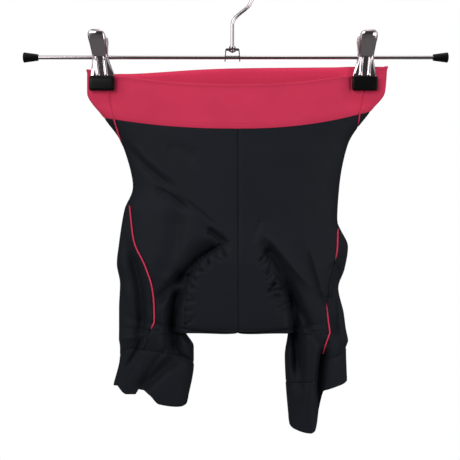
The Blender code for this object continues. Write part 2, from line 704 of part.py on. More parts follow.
def make_yoke():
    """A bent strip that sits on the bar: a flat top and two legs that splay, with holes for bar and rivet."""
    under = YOKE_TOP - YOKE_THICKNESS
    right = [(YOKE_TOP_HALF, YOKE_TOP), (YOKE_SHOULDER_HALF, YOKE_TOP - 1), (YOKE_LEG_HALF, YOKE_LEG_BOTTOM),
             (YOKE_LEG_HALF - YOKE_THICKNESS, YOKE_LEG_BOTTOM), (YOKE_SHOULDER_HALF - YOKE_THICKNESS, under)]
    outline = right + [(-x, z) for x, z in reversed(right)]
    curve = bpy.data.curves.new("yoke_outline", "CURVE")
    curve.dimensions = "2D"
    curve.fill_mode = "BOTH"
    curve.extrude = YOKE_WIDTH / 2 * MM
    line = curve.splines.new("POLY")
    line.points.add(len(outline) - 1)
    line.use_cyclic_u = True
    for point, (x, z) in zip(line.points, outline):
        point.co = (x * MM, z * MM, 0, 1)
    guide = bpy.data.objects.new("yoke_outline", curve)
    collection.objects.link(guide)
    guide.rotation_euler = (math.pi / 2, 0, 0)
    guide.location = (0, 0, -BAR_BELOW_CROWN * MM)
    bpy.context.view_layer.update()
    graph = bpy.context.evaluated_depsgraph_get()
    mesh = bpy.data.meshes.new_from_object(guide.evaluated_get(graph))
    weld(mesh)
    yoke = bpy.data.objects.new("hook_yoke", mesh)
    yoke.matrix_world = guide.matrix_world.copy()
    mesh.materials.clear()
    mesh.materials.append(CHROME)
    collection.objects.link(yoke)
    bpy.data.objects.remove(guide, do_unlink=True)
    holes = (
        ("yoke_bar_hole", BAR_RADIUS + GAP, 30.0, (0, 0, 0), (0, math.pi / 2, 0)),
        ("yoke_rivet_hole", RIVET_NECK + GAP, 8.0, (0, 0, YOKE_TOP), (0, 0, 0)),
    )
    for name, radius, depth, (x, y, z), turn in holes:
        bpy.ops.mesh.primitive_cylinder_add(
            vertices=16, radius=radius * MM, depth=depth * MM,
            location=(x * MM, y * MM, (z - BAR_BELOW_CROWN) * MM), rotation=turn,
        )
        cutter = bpy.context.object
        cutter.name = name
        cutter.hide_render = True
        cutter.display_type = "WIRE"
        for holder in list(cutter.users_collection):
            holder.objects.unlink(cutter)
        cutters.objects.link(cutter)
        cut = yoke.modifiers.new(name, "BOOLEAN")
        cut.operation = "DIFFERENCE"
        cut.object = cutter


def weld(mesh):
    body = bmesh.new()
    body.from_mesh(mesh)
    bmesh.ops.remove_doubles(body, verts=body.verts, dist=0.00001)
    bmesh.ops.recalc_face_normals(body, faces=body.faces)
    body.to_mesh(mesh)
    body.free()


# A clip's leaf, from its thumb end down, with heights above the bar and distances away from its axis.
LEAF_COLUMNS = ("height", "half_width", "away", "crown")
LEAF_ROWS = (
    (24.0, 3.4, 14.4, 0.2),
    (23.4, 5.4, 14.2, 0.5),
    (21.8, 7.0, 13.8, 1.0),
    (18.0, 7.7, 12.9, 1.6),
    (12.0, 7.5, 10.6, 1.9),
    (6.5, 7.2, 7.6, 1.4),
    (2.5, 7.1, 5.2, 0.5),
    (0.0, 7.1, 4.5, 0.2),
    (-4.0, 7.6, 4.3, 0.2),
    (-9.0, 8.8, 4.4, 0.2),
    (-14.0, 10.0, 4.7, 0.1),
    (-18.0, 10.6, 4.9, 0.0),
)
LEAF_WALL = 0.9
LEAF_COLUMN_COUNT = 9
RIB_PLACE = 4.2
RIB_HEIGHT = 0.7


def make_leaf(name, centre, lean, face):
    """One pressed leaf of a spring clip, with a crowned thumb end and two ribs on the lower half."""
    points = []
    for height, half_width, away, crown in LEAF_ROWS:
        middle = centre + lean * (height + CLIP_LEAN_HEIGHT)
        for j in range(LEAF_COLUMN_COUNT):
            across = -1 + 2 * j / (LEAF_COLUMN_COUNT - 1)
            rib = 0.0
            if height < 1.0:
                rib = RIB_HEIGHT * math.exp(-(((abs(across * half_width) - RIB_PLACE) / 1.5) ** 2))
            rise = away + crown * (1 - across**2) + rib
            points.append((middle + across * half_width, face * rise, height - BAR_BELOW_CROWN))
    points = np.array(points)
    shift = np.array([0.0, face * LEAF_WALL / 2, 0.0])
    faces = grid_faces(len(LEAF_ROWS), LEAF_COLUMN_COUNT)
    if face > 0:
        faces = [quad[::-1] for quad in faces]
    closed_body(name, faces, points + shift, points - shift, CHROME)


def make_foot(name, centre, face):
    """Rubber foot under a leaf, which presses on the band."""
    bpy.ops.mesh.primitive_cube_add(size=1)
    foot = bpy.context.object
    foot.name = name
    foot.data.transform(Matrix.Diagonal((*(size * MM for size in FOOT_SIZE), 1)))
    away = EDGE_TURN + BAND_WALL / 2 + GAP + FOOT_SIZE[1] / 2
    foot.location = (centre * MM, face * away * MM, (-BAR_BELOW_CROWN - FOOT_DROP) * MM)
    foot.data.materials.append(RUBBER)
    for holder in list(foot.users_collection):
        holder.objects.unlink(foot)
    collection.objects.link(foot)
    round_edges = foot.modifiers.new("round_edges", "BEVEL")
    round_edges.width = 1.3 * MM
    round_edges.segments = 2
    round_edges.limit_method = "NONE"


def make_clip(side, centre, lean):
    make_leaf(f"clip_front_{side}", centre, lean, -1)
    make_leaf(f"clip_back_{side}", centre, lean, 1)
    make_foot(f"foot_front_{side}", centre, -1)
    make_foot(f"foot_back_{side}", centre, 1)
    bore = BAR_RADIUS + GAP
    end = PIVOT_LENGTH / 2
    pivot = turned(
        f"clip_pivot_{side}",
        [(bore, end), (PIVOT_RADIUS, end), (PIVOT_RADIUS, -end), (bore, -end)],
        CHROME, 16,
    )
    pivot.rotation_euler = (0, math.pi / 2, 0)
    pivot.location = ((centre + lean * CLIP_LEAN_HEIGHT) * MM, 0, -BAR_BELOW_CROWN * MM)


make_waistband()
for half_name in SIDES:
    make_panels(half_name)
    make_piping(half_name)
make_pad()
make_bar()
make_hook()
for clip_name, foot_x, clip_lean in CLIPS:
    make_clip(clip_name, foot_x, clip_lean)
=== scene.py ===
"""Padded sports shorts on a clip hanger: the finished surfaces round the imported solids.

Lengths in the tables are in millimetres. A drop is measured downwards from the axis of the hanger's bar.
"""

import math

import bmesh
import bpy
import numpy as np
from bpy.props import FloatProperty, FloatVectorProperty, IntProperty, PointerProperty
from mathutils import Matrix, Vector


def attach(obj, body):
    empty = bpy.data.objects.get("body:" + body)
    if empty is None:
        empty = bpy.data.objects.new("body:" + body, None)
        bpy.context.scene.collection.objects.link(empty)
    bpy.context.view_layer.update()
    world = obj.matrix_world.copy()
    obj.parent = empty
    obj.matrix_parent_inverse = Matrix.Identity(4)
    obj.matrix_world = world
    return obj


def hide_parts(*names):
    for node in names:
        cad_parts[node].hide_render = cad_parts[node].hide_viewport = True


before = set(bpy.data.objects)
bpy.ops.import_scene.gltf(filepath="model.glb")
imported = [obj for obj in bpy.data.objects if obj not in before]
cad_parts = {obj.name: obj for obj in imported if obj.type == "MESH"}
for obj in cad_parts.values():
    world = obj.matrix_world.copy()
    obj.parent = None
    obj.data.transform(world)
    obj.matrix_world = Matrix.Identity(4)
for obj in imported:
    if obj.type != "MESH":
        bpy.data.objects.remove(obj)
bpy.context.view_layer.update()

bl_info = {
    "name": "Shorts on a clip hanger",
    "version": (1, 0, 0),
    "blender": (4, 5, 0),
    "location": "3D View > Sidebar > Shorts",
    "description": "Builds padded knitted shorts, their seams and the clip hanger that holds them",
    "category": "Add Mesh",
}

MM = 0.001
BODY = "root"

# Hanger
BAR_BELOW_CROWN = 86.8
BAR_RADIUS = 1.75
BAR_ENDS = (-192.0, 198.0)
CAP_LENGTH = 14.2
CAP_TIPS = (-196.8, 203.0)
HOOK_WIRE_RADIUS = 1.65
HOOK_RADIUS = 22.0
HOOK_START_ANGLE = -33.0
HOOK_END_ANGLE = 205.0
HOOK_FOOT_RISE = 5.8
HOOK_ANGLE_STEP, HOOK_POINTS, HOOK_SMOOTHING = 8.5, 170, 4
HOOK_BEND = ((0, 22), (0, 31), (0.5, 34), (2.2, 36.8), (5.3, 39.9), (8.2, 42.3), (12.0, 45.3), (15.8, 49.0))
YOKE_TOP = 8.0
YOKE_THICKNESS = 1.1
# Each clip: side, x of its feet, and how far its axis leans in X per height.
CLIPS = (("left", -122.2, -0.125), ("right", 124.1, 0.085))
CLIP_LEAN_HEIGHT = 15.0
FOOT_SIZE = (24.0, 5.0, 13.2)
FOOT_DROP = 25.2
FOOT_STEPS, FOOT_POWER = 96, 2 / 7
# A foot's levels: share of its height, of its width and of its depth.
FOOT_LEVELS = (
    (0.0, 0.86, 0.55), (0.02, 0.93, 0.8), (0.07, 0.975, 0.95), (0.16, 0.995, 1.0), (0.5, 1.0, 0.98),
    (0.8, 0.985, 1.0), (0.86, 0.97, 0.93), (0.9, 0.985, 1.0), (0.97, 0.965, 0.95), (1.0, 0.9, 0.72),
)
BAND_HALF_WALL = 0.85

# Cloth
GAP = 0.3
SEAM_TRIM = 0.32
SEAM_BULGE = 0.2
EDGE_TURN = 2.0
# How the drop goes over from the centre's to the side edge's along one row.
DROP_POWER = 2.2
# Folds fade out where the cloth nears the side edge, and towards both ends of their own path.
RELIEF_AT_EDGES = 1.6
FOLD_END_SHARE, FOLD_END_DEPTH = 0.22, 0.25
# How much a turn of the cloth draws its points together, and how far apart a normal's neighbours lie.
TURN_WEIGHT = 4.0
NORMAL_AROUND, NORMAL_DOWN = 0.012, 0.05
PINCH_DROP, PINCH_HALF_WIDTH, PINCH_HALF_HEIGHT = 22.0, 19.0, 25.0
# The left clip drags the top edge of the band's back down beside it.
TOP_DRAG, TOP_DRAG_X, TOP_DRAG_HALF_WIDTH, TOP_DRAG_FADE = 5.0, -104.0, 70.0, 20.0
# The middle of the crotch hangs a little lower than its sides.
CROTCH_SAG, CROTCH_SAG_X, CROTCH_SAG_HALF_WIDTH = 2.4, 5.0, 28.0
PIPING_LIFT = -0.45
# Rows between which a fold covers the piping, and how far it lies below the cloth there.
PIPING_HIDDEN = {"left": (9.75, 14.0), "right": (6.6, 8.6)}
PIPING_DIP, PIPING_DIP_ROWS = 2.8, 0.15
# How far the pieces stay off the rows where the waistband and the leg bands are sewn on.
BAND_SEAM_ROWS, LEG_SEAM_ROWS = 0.006, 0.01
PIPING_END_ROW = 12.4
PIPING_STEP, PIPING_SMOOTHING = 1.6, 20
# Widths that the pieces' columns are counted from, and how much finer the front panels are.
BAND_FRONT_WIDTH, BAND_BACK_WIDTH, LEG_BAND_ROUND = 130, 160, 230
FRONT_WIDTH, SIDE_WIDTH, BACK_WIDTH = 118, 62, 112
FRONT_FINER, BAND_FINER = 0.68, 0.75
# How far each piece sinks at its top, right, bottom and left edge, and how far in that reaches.
BAND_SINKS = (-0.8, 0.3, 0.35, 0.3)
PANEL_SINKS = (0.25, 0.5, 0.3, 0.5)
LEG_BAND_SINKS = (0.3, 0.35, 0, 0.35)
SINK_REACH = 1.5
# Stitches lie off the cloth and run at these distances from the edges.
STITCH_LIFT, STITCH_TRIM = 0.06, 2
BAND_STITCH_ROWS = (2.2, 4.6)
LEG_SEAM_STITCHES, HEM_STITCHES = 2.0, 3.0

SECTION_COLUMNS = ("name", "front", "back", "deep_front", "deep_back", "closed", "full")
SECTIONS = (
    ("top", 29, 9, 21, 10, 0.0, 1.5),
    ("band", 50, 34, 22, 14, 0.0, 1.5),
    ("waist", 69, 58, 22, 18, 0.0, 1.7),
    ("high", 95, 88, 24, 28, 0.0, 2.0),
    ("notch", 126, 127, 26, 38, 0.0, 2.2),
    ("hip", 153, 153, 28, 46, 0.0, 2.4),
    ("rise", 177, 186, 31, 52, 0.0, 2.4),
    ("shoulder", 197, 212, 33, 55, 0.0, 2.4),
    ("thigh", 217, 238, 33, 50, 0.05, 2.4),
    ("low", 253, 251, 31, 44, 0.1, 2.3),
    ("crotch", 256, 256, 26, 34, 1.0, 2.2),
    ("under", 257, 257, 27, 32, 1.0, 2.3),
    ("leg", 276, 276, 26, 31, 1.0, 2.3),
    ("seam", 288, 288, 23, 30, 1.0, 2.3),
    ("hem", 323, 323, 18, 30, 1.0, 2.3),
)
BAND_BOTTOM_ROW = 2.0
CROTCH_ROW, UNDER_ROW, SEAM_ROW, HEM_ROW = 10.0, 11.0, 13.0, 14.0
HALF_COLUMNS = ("name", "inner", "side", "side_drop", "piped", "rear")
LEFT_HALF = (
    ("top", 5, -136, 12, 0.851, 1.12),
    ("band", 5, -136, 33, 0.851, 1.12),
    ("waist", 5, -120, 57, 0.923, 1.12),
    ("high", 5, -103, 82, 1.005, 1.15),
    ("notch", 5, -93, 121, 1.05, 1.20),
    ("hip", 5, -101, 144, 0.939, 1.22),
    ("rise", 5, -106, 175, 0.856, 1.24),
    ("shoulder", 5, -108, 194, 0.75, 1.24),
    ("thigh", 5, -105, 213, 0.713, 1.24),
    ("low", 5, -106, 236, 0.688, 1.24),
    ("crotch", 5, -106, 253, 0.727, 1.235),
    ("under", -45, -106, 264, 0.545, 1.40),
    ("leg", -37, -105, 275, 0.620, 1.40),
    ("seam", -37, -105, 283, 0.660, 1.40),
    ("hem", -43, -111, 309, 0.720, 1.40),
)
RIGHT_HALF = (
    ("top", 5, 145, 9, 0.851, 1.12),
    ("band", 5, 143, 32, 0.851, 1.12),
    ("waist", 5, 129, 51, 0.916, 1.12),
    ("high", 5, 108, 82, 1.07, 1.17),
    ("notch", 5, 100, 121, 1.08, 1.20),
    ("hip", 5, 98, 152, 1.02, 1.22),
    ("rise", 5, 108, 178, 0.89, 1.24),
    ("shoulder", 5, 105, 198, 0.885, 1.24),
    ("thigh", 5, 99, 217, 0.89, 1.24),
    ("low", 5, 104, 240, 0.833, 1.245),
    ("crotch", 5, 106, 255, 0.833, 1.245),
    ("under", 53, 108, 266, 0.63, 1.46),
    ("leg", 50, 107, 272, 0.61, 1.40),
    ("seam", 51, 106, 276, 0.617, 1.40),
    ("hem", 54, 107, 305, 0.600, 1.40),
)
LEG_COLUMNS = ("round", "seam", "hem")
LEFT_LEG = (
    (0.00, 287, 323), (0.20, 281, 326), (0.43, 276, 323), (0.52, 274, 312), (0.57, 273, 309),
    (0.61, 273, 314), (0.70, 272, 314), (0.86, 275, 306), (1.00, 282, 308), (1.40, 290, 316),
    (1.70, 293, 322), (2.00, 287, 323),
)
RIGHT_LEG = (
    (0.00, 306, 343), (0.20, 304, 347), (0.42, 303, 350), (0.46, 302, 348), (0.54, 285, 311),
    (0.60, 281, 309), (0.75, 278, 306), (1.00, 272, 303), (1.40, 285, 316), (1.70, 297, 331),
    (2.00, 306, 343),
)
# A fold: face is -1 on the front and 1 on the back; its path runs through three points (x, drop); the widths
# are half widths on the path's inner and outer side; depth is how far the cloth goes in, below 0 on a ridge.
FOLD_COLUMNS = ("name", "face", "x0", "d0", "x1", "d1", "x2", "d2", "width_in", "width_out", "depth")
FOLDS = (
    ("arch left", -1, -8, 178, -32, 190, -47, 220, 4, 9, 11),
    ("gully left", -1, -48, 212, -55, 246, -52, 284, 6, 6, 18),
    ("arch right", -1, 28, 178, 42, 195, 52, 225, 4, 7, 9),
    ("gully right", -1, 53, 214, 59, 255, 61, 305, 5, 5, 16),
    ("branch left", -1, -42, 200, -56, 214, -70, 232, 4, 5, 8),
    ("piped valley left", -1, -99, 172, -84, 227, -90, 282, 5, 6, 10),
    ("piped valley right", -1, 100, 190, 95, 222, 97, 278, 4, 4, 7),
    ("column edge", -1, 85, 268, 81, 300, 80, 345, 4, 4, 14),
    ("band drag", -1, -50, 278, -70, 296, -90, 314, 5, 6, 8),
    ("waist crease", -1, -99, 82, -78, 106, -54, 124, 4, 5, 2),
    ("hip crease", -1, -74, 123, -55, 133, -40, 145, 4, 5, 2),
    ("pinch", -1, -24, 161, -15, 167, -5, 175, 3, 5, 4),
    ("side sweep", -1, -51, 139, -55, 180, -64, 208, 8, 8, 3),
    ("right ridge", -1, 30, 165, 47, 186, 70, 213, 5, 5, -3),
    ("outer ridge", -1, 70, 172, 81, 204, 85, 226, 5, 5, -3),
    ("right gully top", -1, 47, 208, 63, 236, 71, 256, 4, 4, 5),
    ("slit", -1, 92, 222, 89, 230, 90, 238, 3, 3, 6),
    ("seat left", 1, -30, 200, -52, 222, -66, 262, 7, 9, 8),
    ("seat right", 1, 40, 200, 62, 222, 78, 262, 7, 9, 8),
    ("back drag left", 1, -90, 90, -70, 120, -40, 150, 7, 9, 5),
    ("back drag right", 1, 92, 88, 74, 118, 48, 152, 7, 9, 5),
    ("leg back left", 1, -80, 250, -78, 282, -84, 318, 7, 7, 8),
    ("leg back right", 1, 84, 252, 82, 288, 84, 325, 7, 7, 8),
)
# Narrow creases that lie over the folds.
CREASES = (
    ("waist crease line", -1, -97, 83, -80, 102, -55, 122, 1.5, 2.8, 1.3),
    ("waist crease lip", -1, -94, 79, -77, 98, -52, 117, 2.5, 2.5, -0.9),
    ("upper drape", -1, -62, 85, -46, 89, -30, 96, 6, 9, 1.2),
    ("hip crease line", -1, -72, 123, -55, 132, -38, 146, 1.4, 2.6, 1.2),
    ("hip crease tail", -1, -43, 135, -28, 147, -13.5, 160, 1.5, 2.4, 1.2),
    ("pinch line", -1, -23, 162, -14, 168, -5, 174, 1.5, 2.2, 1.8),
    ("arch shadow", -1, -5, 174, -33, 190, -51, 212, 1.8, 2.6, 2.6),
    ("soft vertical", -1, -50, 140, -50, 182, -50, 226, 5, 5, 1.4),
    ("right crease", -1, 26, 152, 21, 163, 18, 177, 2.2, 3.0, 1.6),
    ("right ridge line", -1, 28, 165, 44, 184, 68, 212, 2.0, 2.4, -1.9),
    ("outer ridge line", -1, 68, 171, 77, 203, 86, 232, 1.9, 2.2, -1.9),
    ("inner line", -1, 44, 205, 62, 238, 83, 275, 1.8, 3.0, 1.6),
    ("edge crease", -1, 96, 192, 92, 196, 88, 201, 2, 2, 1.5),
    ("slit line", -1, 86, 224, 85.5, 228, 86, 232, 1.4, 1.4, 2.5),
    ("gap line left", -1, -43, 211, -51, 238, -60, 265, 2.0, 2.6, 3.5),
    ("pocket", -1, -52, 277, -44, 281, -36, 284, 2.4, 3.0, 3.5),
    ("leg ridge", -1, -98, 212, -93, 232, -87, 252, 2.2, 3, -2.0),
    ("leg valley line", -1, -56, 268, -72, 285, -86, 310, 1.6, 3, 3.0),
    ("flap line", -1, -76, 252, -87, 270, -101, 294, 2.2, 1.2, 2.8),
    ("flap lip", -1, -73, 254, -84, 273, -98, 297, 1.6, 1.6, -1.7),
    ("arch lip left", -1, -4, 176, -27, 190, -46, 208, 1.3, 1.3, -1.7),
    ("arch lip low", -1, -46, 208, -58, 217, -69, 227, 1.3, 1.3, -1.0),
    ("second arch line", -1, -29, 194, -36, 201, -43, 208, 1.0, 1.6, 1.6),
    ("arch lip right", -1, 32, 181, 46, 207, 58, 234, 1.2, 1.2, -1.0),
    ("column line", -1, 62, 268, 64, 300, 62, 340, 1.6, 3, 2.0),
    ("back waist left", 1, -96, 74, -80, 92, -58, 108, 1.8, 3.0, 1.3),
    ("back waist right", 1, 100, 70, 86, 90, 60, 104, 1.8, 3.0, 1.2),
    ("back hip left", 1, -78, 128, -58, 140, -36, 158, 2.0, 3.2, 1.5),
    ("back hip right", 1, 82, 124, 66, 138, 40, 150, 2.0, 3.2, 1.4),
    ("seat line left", 1, -28, 206, -46, 224, -60, 256, 2.0, 3.0, 2.0),
    ("seat line right", 1, 38, 204, 58, 224, 70, 258, 2.0, 3.0, 2.0),
    ("back sweep left", 1, -88, 170, -82, 205, -86, 236, 5, 6, 1.8),
    ("back sweep right", 1, 92, 168, 88, 200, 90, 232, 5, 6, 1.8),
    ("back leg line left", 1, -60, 268, -66, 290, -74, 312, 2, 3, 1.8),
    ("back leg line right", 1, 66, 270, 68, 296, 66, 326, 2, 3, 1.8),
)
# The stitched arch of the pad, from its top down each side, as (x, drop).
PAD_ARCH = {
    "left": ((-4, 173), (-21, 182), (-33, 191), (-39, 200), (-42.5, 211), (-43, 235), (-43, 256)),
    "right": ((28, 178), (32, 184), (36, 197), (43, 207), (49, 216), (54, 230), (56, 250)),
}
PAD_MIDDLE = (5.0, 236.0)
# Puckers at the arch: which side, first and last share of the arch, count, length, depth.
PUCKERS = (
    ("left", 0.06, 0.50, 10, 12.0, 2.6),
    ("left", 0.50, 0.95, 7, 9.0, 2.0),
    ("right", 0.04, 0.40, 7, 11.0, 2.4),
    ("right", 0.40, 0.80, 10, 16.0, 3.0),
)
PUCKER_HALF_WIDTH = 1.15
ARCH_GROOVE = (1.2, 1.1, 1.5)
FOLD_RUNS = 10
FOLD_REACH = 2.6

PAD_LINE_COLUMNS = ("drop", "y", "left", "right")
PAD_LINE = (
    (184, -22, -5, 15),
    (200, -25, -20, 30),
    (220, -25, -31, 39),
    (238, -20, -39, 45),
    (249, -8, -38, 44),
    (251, 4, -36, 42),
    (249, 18, -36, 42),
    (242, 30, -37, 43),
    (228, 38, -36, 42),
    (210, 41, -24, 34),
)
# Where the foam is sewn down: share of the half width, depth and half width of the channel.
PAD_CHANNELS = ((0.38, 1.0, 0.06), (0.93, 0.8, 0.05))
PAD_RELIEF, PAD_COLUMNS, PAD_ROWS = 0.6, 65, 110

# A clip's leaf: height above the bar, half width, distance from the bar's axis, crown and turned-back edge.
LEAF_ROWS = (
    (24.0, 2.4, 12.9, 0.2, 0.0),
    (23.6, 4.3, 13.3, 0.5, 0.0),
    (22.6, 6.3, 13.6, 1.0, 0.3),
    (20.0, 7.8, 13.3, 1.6, 0.8),
    (16.5, 8.0, 12.2, 1.6, 1.2),
    (12.0, 7.5, 10.5, 1.2, 1.4),
    (6.5, 7.2, 7.6, 0.9, 1.6),
    (2.5, 7.1, 5.2, 0.5, 1.8),
    (0.0, 7.1, 4.5, 0.2, 1.6),
    (-4.0, 7.6, 4.3, 0.2, 1.0),
    (-9.0, 8.8, 4.4, 0.2, 0.7),
    (-14.0, 10.0, 4.7, 0.1, 0.4),
    (-18.0, 10.6, 4.9, 0.0, 0.2),
)
LEAF_WALL = 0.8
RIB_PLACE = 3.9
RIB_HALF_WIDTH = 1.0
RIB_HEIGHT = 0.7
RIB_TOP, RIB_BOTTOM = 0.2, -18.0

SIDES = {"left": (-1, LEFT_HALF, LEFT_LEG), "right": (1, RIGHT_HALF, RIGHT_LEG)}
BOTH_SIDES = tuple((side,) for side in SIDES)
grids = {}


def smooth_table(places, values, at):
    """A curve through a table that never overshoots it."""
    places = np.asarray(places, float)
    values = np.asarray(values, float)
    step = np.diff(places)
    slope = np.diff(values) / step
    tangent = np.zeros(len(places))
    tangent[0] = slope[0]
    tangent[-1] = slope[-1]
    for i in range(1, len(places) - 1):
        if slope[i - 1] * slope[i] > 0:
            before = 2 * step[i] + step[i - 1]
            after = step[i] + 2 * step[i - 1]
            tangent[i] = (before + after) / (before / slope[i - 1] + after / slope[i])
    at = np.clip(np.asarray(at, float), places[0], places[-1])
    index = np.clip(np.searchsorted(places, at, side="right") - 1, 0, len(step) - 1)
    h = step[index]
    t = (at - places[index]) / h
    return (
        (1 + 2 * t) * (1 - t) ** 2 * values[index]
        + t * (1 - t) ** 2 * h * tangent[index]
        + t * t * (3 - 2 * t) * values[index + 1]
        + t * t * (t - 1) * h * tangent[index + 1]
    )


def column(table, columns, name, at):
    """One named column of a table of sections, read at a place between them."""
    index = columns.index(name)
    return smooth_table(range(len(table)), [row[index] for row in table], at)


def section(name, at):
    return column(SECTIONS, SECTION_COLUMNS, name, at)


def half(side, name, at):
    return column(SIDES[side][1], HALF_COLUMNS, name, at)


def leg(side, name, around):
    table = SIDES[side][2]
    index = LEG_COLUMNS.index(name)
    return smooth_table([row[0] for row in table], [row[index] for row in table], around)


def smoothstep(value):
    value = np.clip(value, 0.0, 1.0)
    return value * value * (3 - 2 * value)


def unit(vectors):
    return vectors / np.maximum(np.linalg.norm(vectors, axis=-1, keepdims=True), 1e-9)


def run_lengths(points):
    """Distance along a line of points from its first one."""
    return np.concatenate([[0.0], np.cumsum(np.linalg.norm(np.diff(points, axis=0), axis=1))])


def smoothed(line, rounds):
    """A line of points, each drawn towards its neighbours a number of times."""
    for _ in range(rounds):
        line[1:-1] = 0.25 * line[:-2] + 0.5 * line[1:-1] + 0.25 * line[2:]
    return line


def size_mm(name):
    """One of the user's sizes, in millimetres."""
    return getattr(bpy.context.scene.shorts_sizes, name) / MM


def along_line(line, share):
    """Points at shares of the length of a line of points."""
    line = np.asarray(line, float)
    lengths = run_lengths(line)
    at = np.asarray(share) * lengths[-1]
    return np.stack([np.interp(at, lengths, line[:, i]) for i in range(line.shape[1])], axis=-1)


def pucker_rows():
    """Short creases that run from the pad's stitched arch towards its middle, unevenly spaced."""
    rows = []
    for side, first, last, count, length, depth in PUCKERS:
        for i in range(count):
            uneven = math.sin(7.3 * i + 3.1 * count)
            share = first + (last - first) * (i + 0.5 + 0.28 * uneven) / count
            start = along_line(PAD_ARCH[side], share)
            inward = unit(np.array(PAD_MIDDLE) - start)
            tilt = 0.35 * math.sin(3.7 * i + count)
            inward = np.array([inward[0] - tilt * inward[1], inward[1] + tilt * inward[0]])
            reach = length * (0.75 + 0.4 * math.sin(5.1 * i + 1.3) ** 2)
            middle = start + inward * reach * 0.45
            end = start + inward * reach
            start = start - inward * 1.8
            strength = depth * (0.7 + 0.3 * math.cos(4.3 * i))
            widths = (PUCKER_HALF_WIDTH, PUCKER_HALF_WIDTH)
            rows.append((f"pucker {side}", -1, *start, *middle, *end, *widths, strength))
    return rows


def arch_rows():
    """The groove that the pad's stitching pulls into the cloth."""
    rows = []
    for side, line in PAD_ARCH.items():
        for i in range(0, len(line) - 2, 2):
            (x0, d0), (x1, d1), (x2, d2) = line[i : i + 3]
            rows.append((f"arch groove {side}", -1, x0, d0, x1, d1, x2, d2, *ARCH_GROOVE))
    return rows


def fold_paths(face):
    """The folds of one face: each path's points, and its widths, depth, side and range of drops."""
    steps = np.linspace(0.0, 1.0, FOLD_RUNS + 1)
    paths, sizes = [], []
    for row in (*FOLDS, *CREASES, *arch_rows(), *pucker_rows()):
        fold = dict(zip(FOLD_COLUMNS, row))
        if fold["face"] != face:
            continue
        middle_x = 2 * fold["x1"] - 0.5 * (fold["x0"] + fold["x2"])
        middle_d = 2 * fold["d1"] - 0.5 * (fold["d0"] + fold["d2"])
        path_x = (1 - steps) ** 2 * fold["x0"] + 2 * steps * (1 - steps) * middle_x + steps**2 * fold["x2"]
        path_d = (1 - steps) ** 2 * fold["d0"] + 2 * steps * (1 - steps) * middle_d + steps**2 * fold["d2"]
        paths.append(np.stack([path_x, path_d]))
        away = math.copysign(1.0, fold["x0"] + fold["x2"] - 10.0)
        reach = FOLD_REACH * max(fold["width_in"], fold["width_out"])
        drops = (path_d.min() - reach, path_d.max() + reach)
        sizes.append((fold["width_in"], fold["width_out"], fold["depth"], away, *drops))
    return np.array(paths), np.array(sizes)


FOLD_PATHS = {-1: fold_paths(-1), 1: fold_paths(1)}


def fold_depth(face, x, drop):
    """How far the folds push the cloth in at each point of one face."""
    paths, sizes = FOLD_PATHS[face]
    if not len(x):
        return np.zeros(0)
    near = (sizes[:, 4] < drop.max()) & (sizes[:, 5] > drop.min())
    paths, sizes = paths[near], sizes[near]
    if not len(paths):
        return np.zeros_like(x)
    start = paths[:, :, :-1, None]
    run = paths[:, :, 1:, None] - start
    length = (run**2).sum(axis=1)
    from_x = x - start[:, 0]
    from_d = drop - start[:, 1]
    t = ((from_x * run[:, 0] + from_d * run[:, 1]) / length).clip(0.0, 1.0)
    away_x = from_x - t * run[:, 0]
    away_d = from_d - t * run[:, 1]
    distance = away_x**2 + away_d**2
    nearest = distance.argmin(axis=1)[:, None]
    squared = np.take_along_axis(distance, nearest, axis=1)[:, 0]
    along = (nearest + np.take_along_axis(t, nearest, axis=1))[:, 0] / FOLD_RUNS
    outward = np.take_along_axis(away_x, nearest, axis=1)[:, 0] * sizes[:, 3:4]
    width = np.where(outward > 0, sizes[:, 1:2], sizes[:, 0:1])
    ends = smoothstep(along / FOLD_END_SHARE) * smoothstep((1 - along) / FOLD_END_SHARE)
    strength = FOLD_END_DEPTH + (1 - FOLD_END_DEPTH) * ends
    return (sizes[:, 2:3] * strength * np.exp(-squared / width**2)).sum(axis=0)


def curve_shares(at, around):
    """Share of the way out to the side edge, and share of the section's depth, along one row."""
    turn = np.where(around <= 1.0, around, 2.0 - around)
    closed = smoothstep(section("closed", at))
    full = section("full", at)
    quarter = turn * math.pi / 2
    share_open = np.sin(quarter) ** (2 / full)
    out_open = np.cos(quarter).clip(0) ** (2 / full)
    whole = turn * math.pi
    share_ring = 0.5 - 0.5 * np.sign(np.cos(whole)) * np.abs(np.cos(whole)) ** (2 / full)
    out_ring = np.sin(whole).clip(0) ** (2 / full)
    return (1 - closed) * share_open + closed * share_ring, (1 - closed) * out_open + closed * out_ring


def clip_pinch(x, drop):
    """1 where a clip presses the band's layers together, 0 away from the clips."""
    total = np.zeros_like(x)
    for _, centre, _ in CLIPS:
        beside = np.exp(-((np.abs(x - centre) / PINCH_HALF_WIDTH) ** 4))
        beyond = np.where(np.abs(x) > abs(centre), 1.0, beside)
        level = np.exp(-((np.abs(drop - PINCH_DROP) / PINCH_HALF_HEIGHT) ** 4))
        total = total + np.where(x * centre > 0, beyond, 0.0) * level
    return np.clip(total, 0, 1)


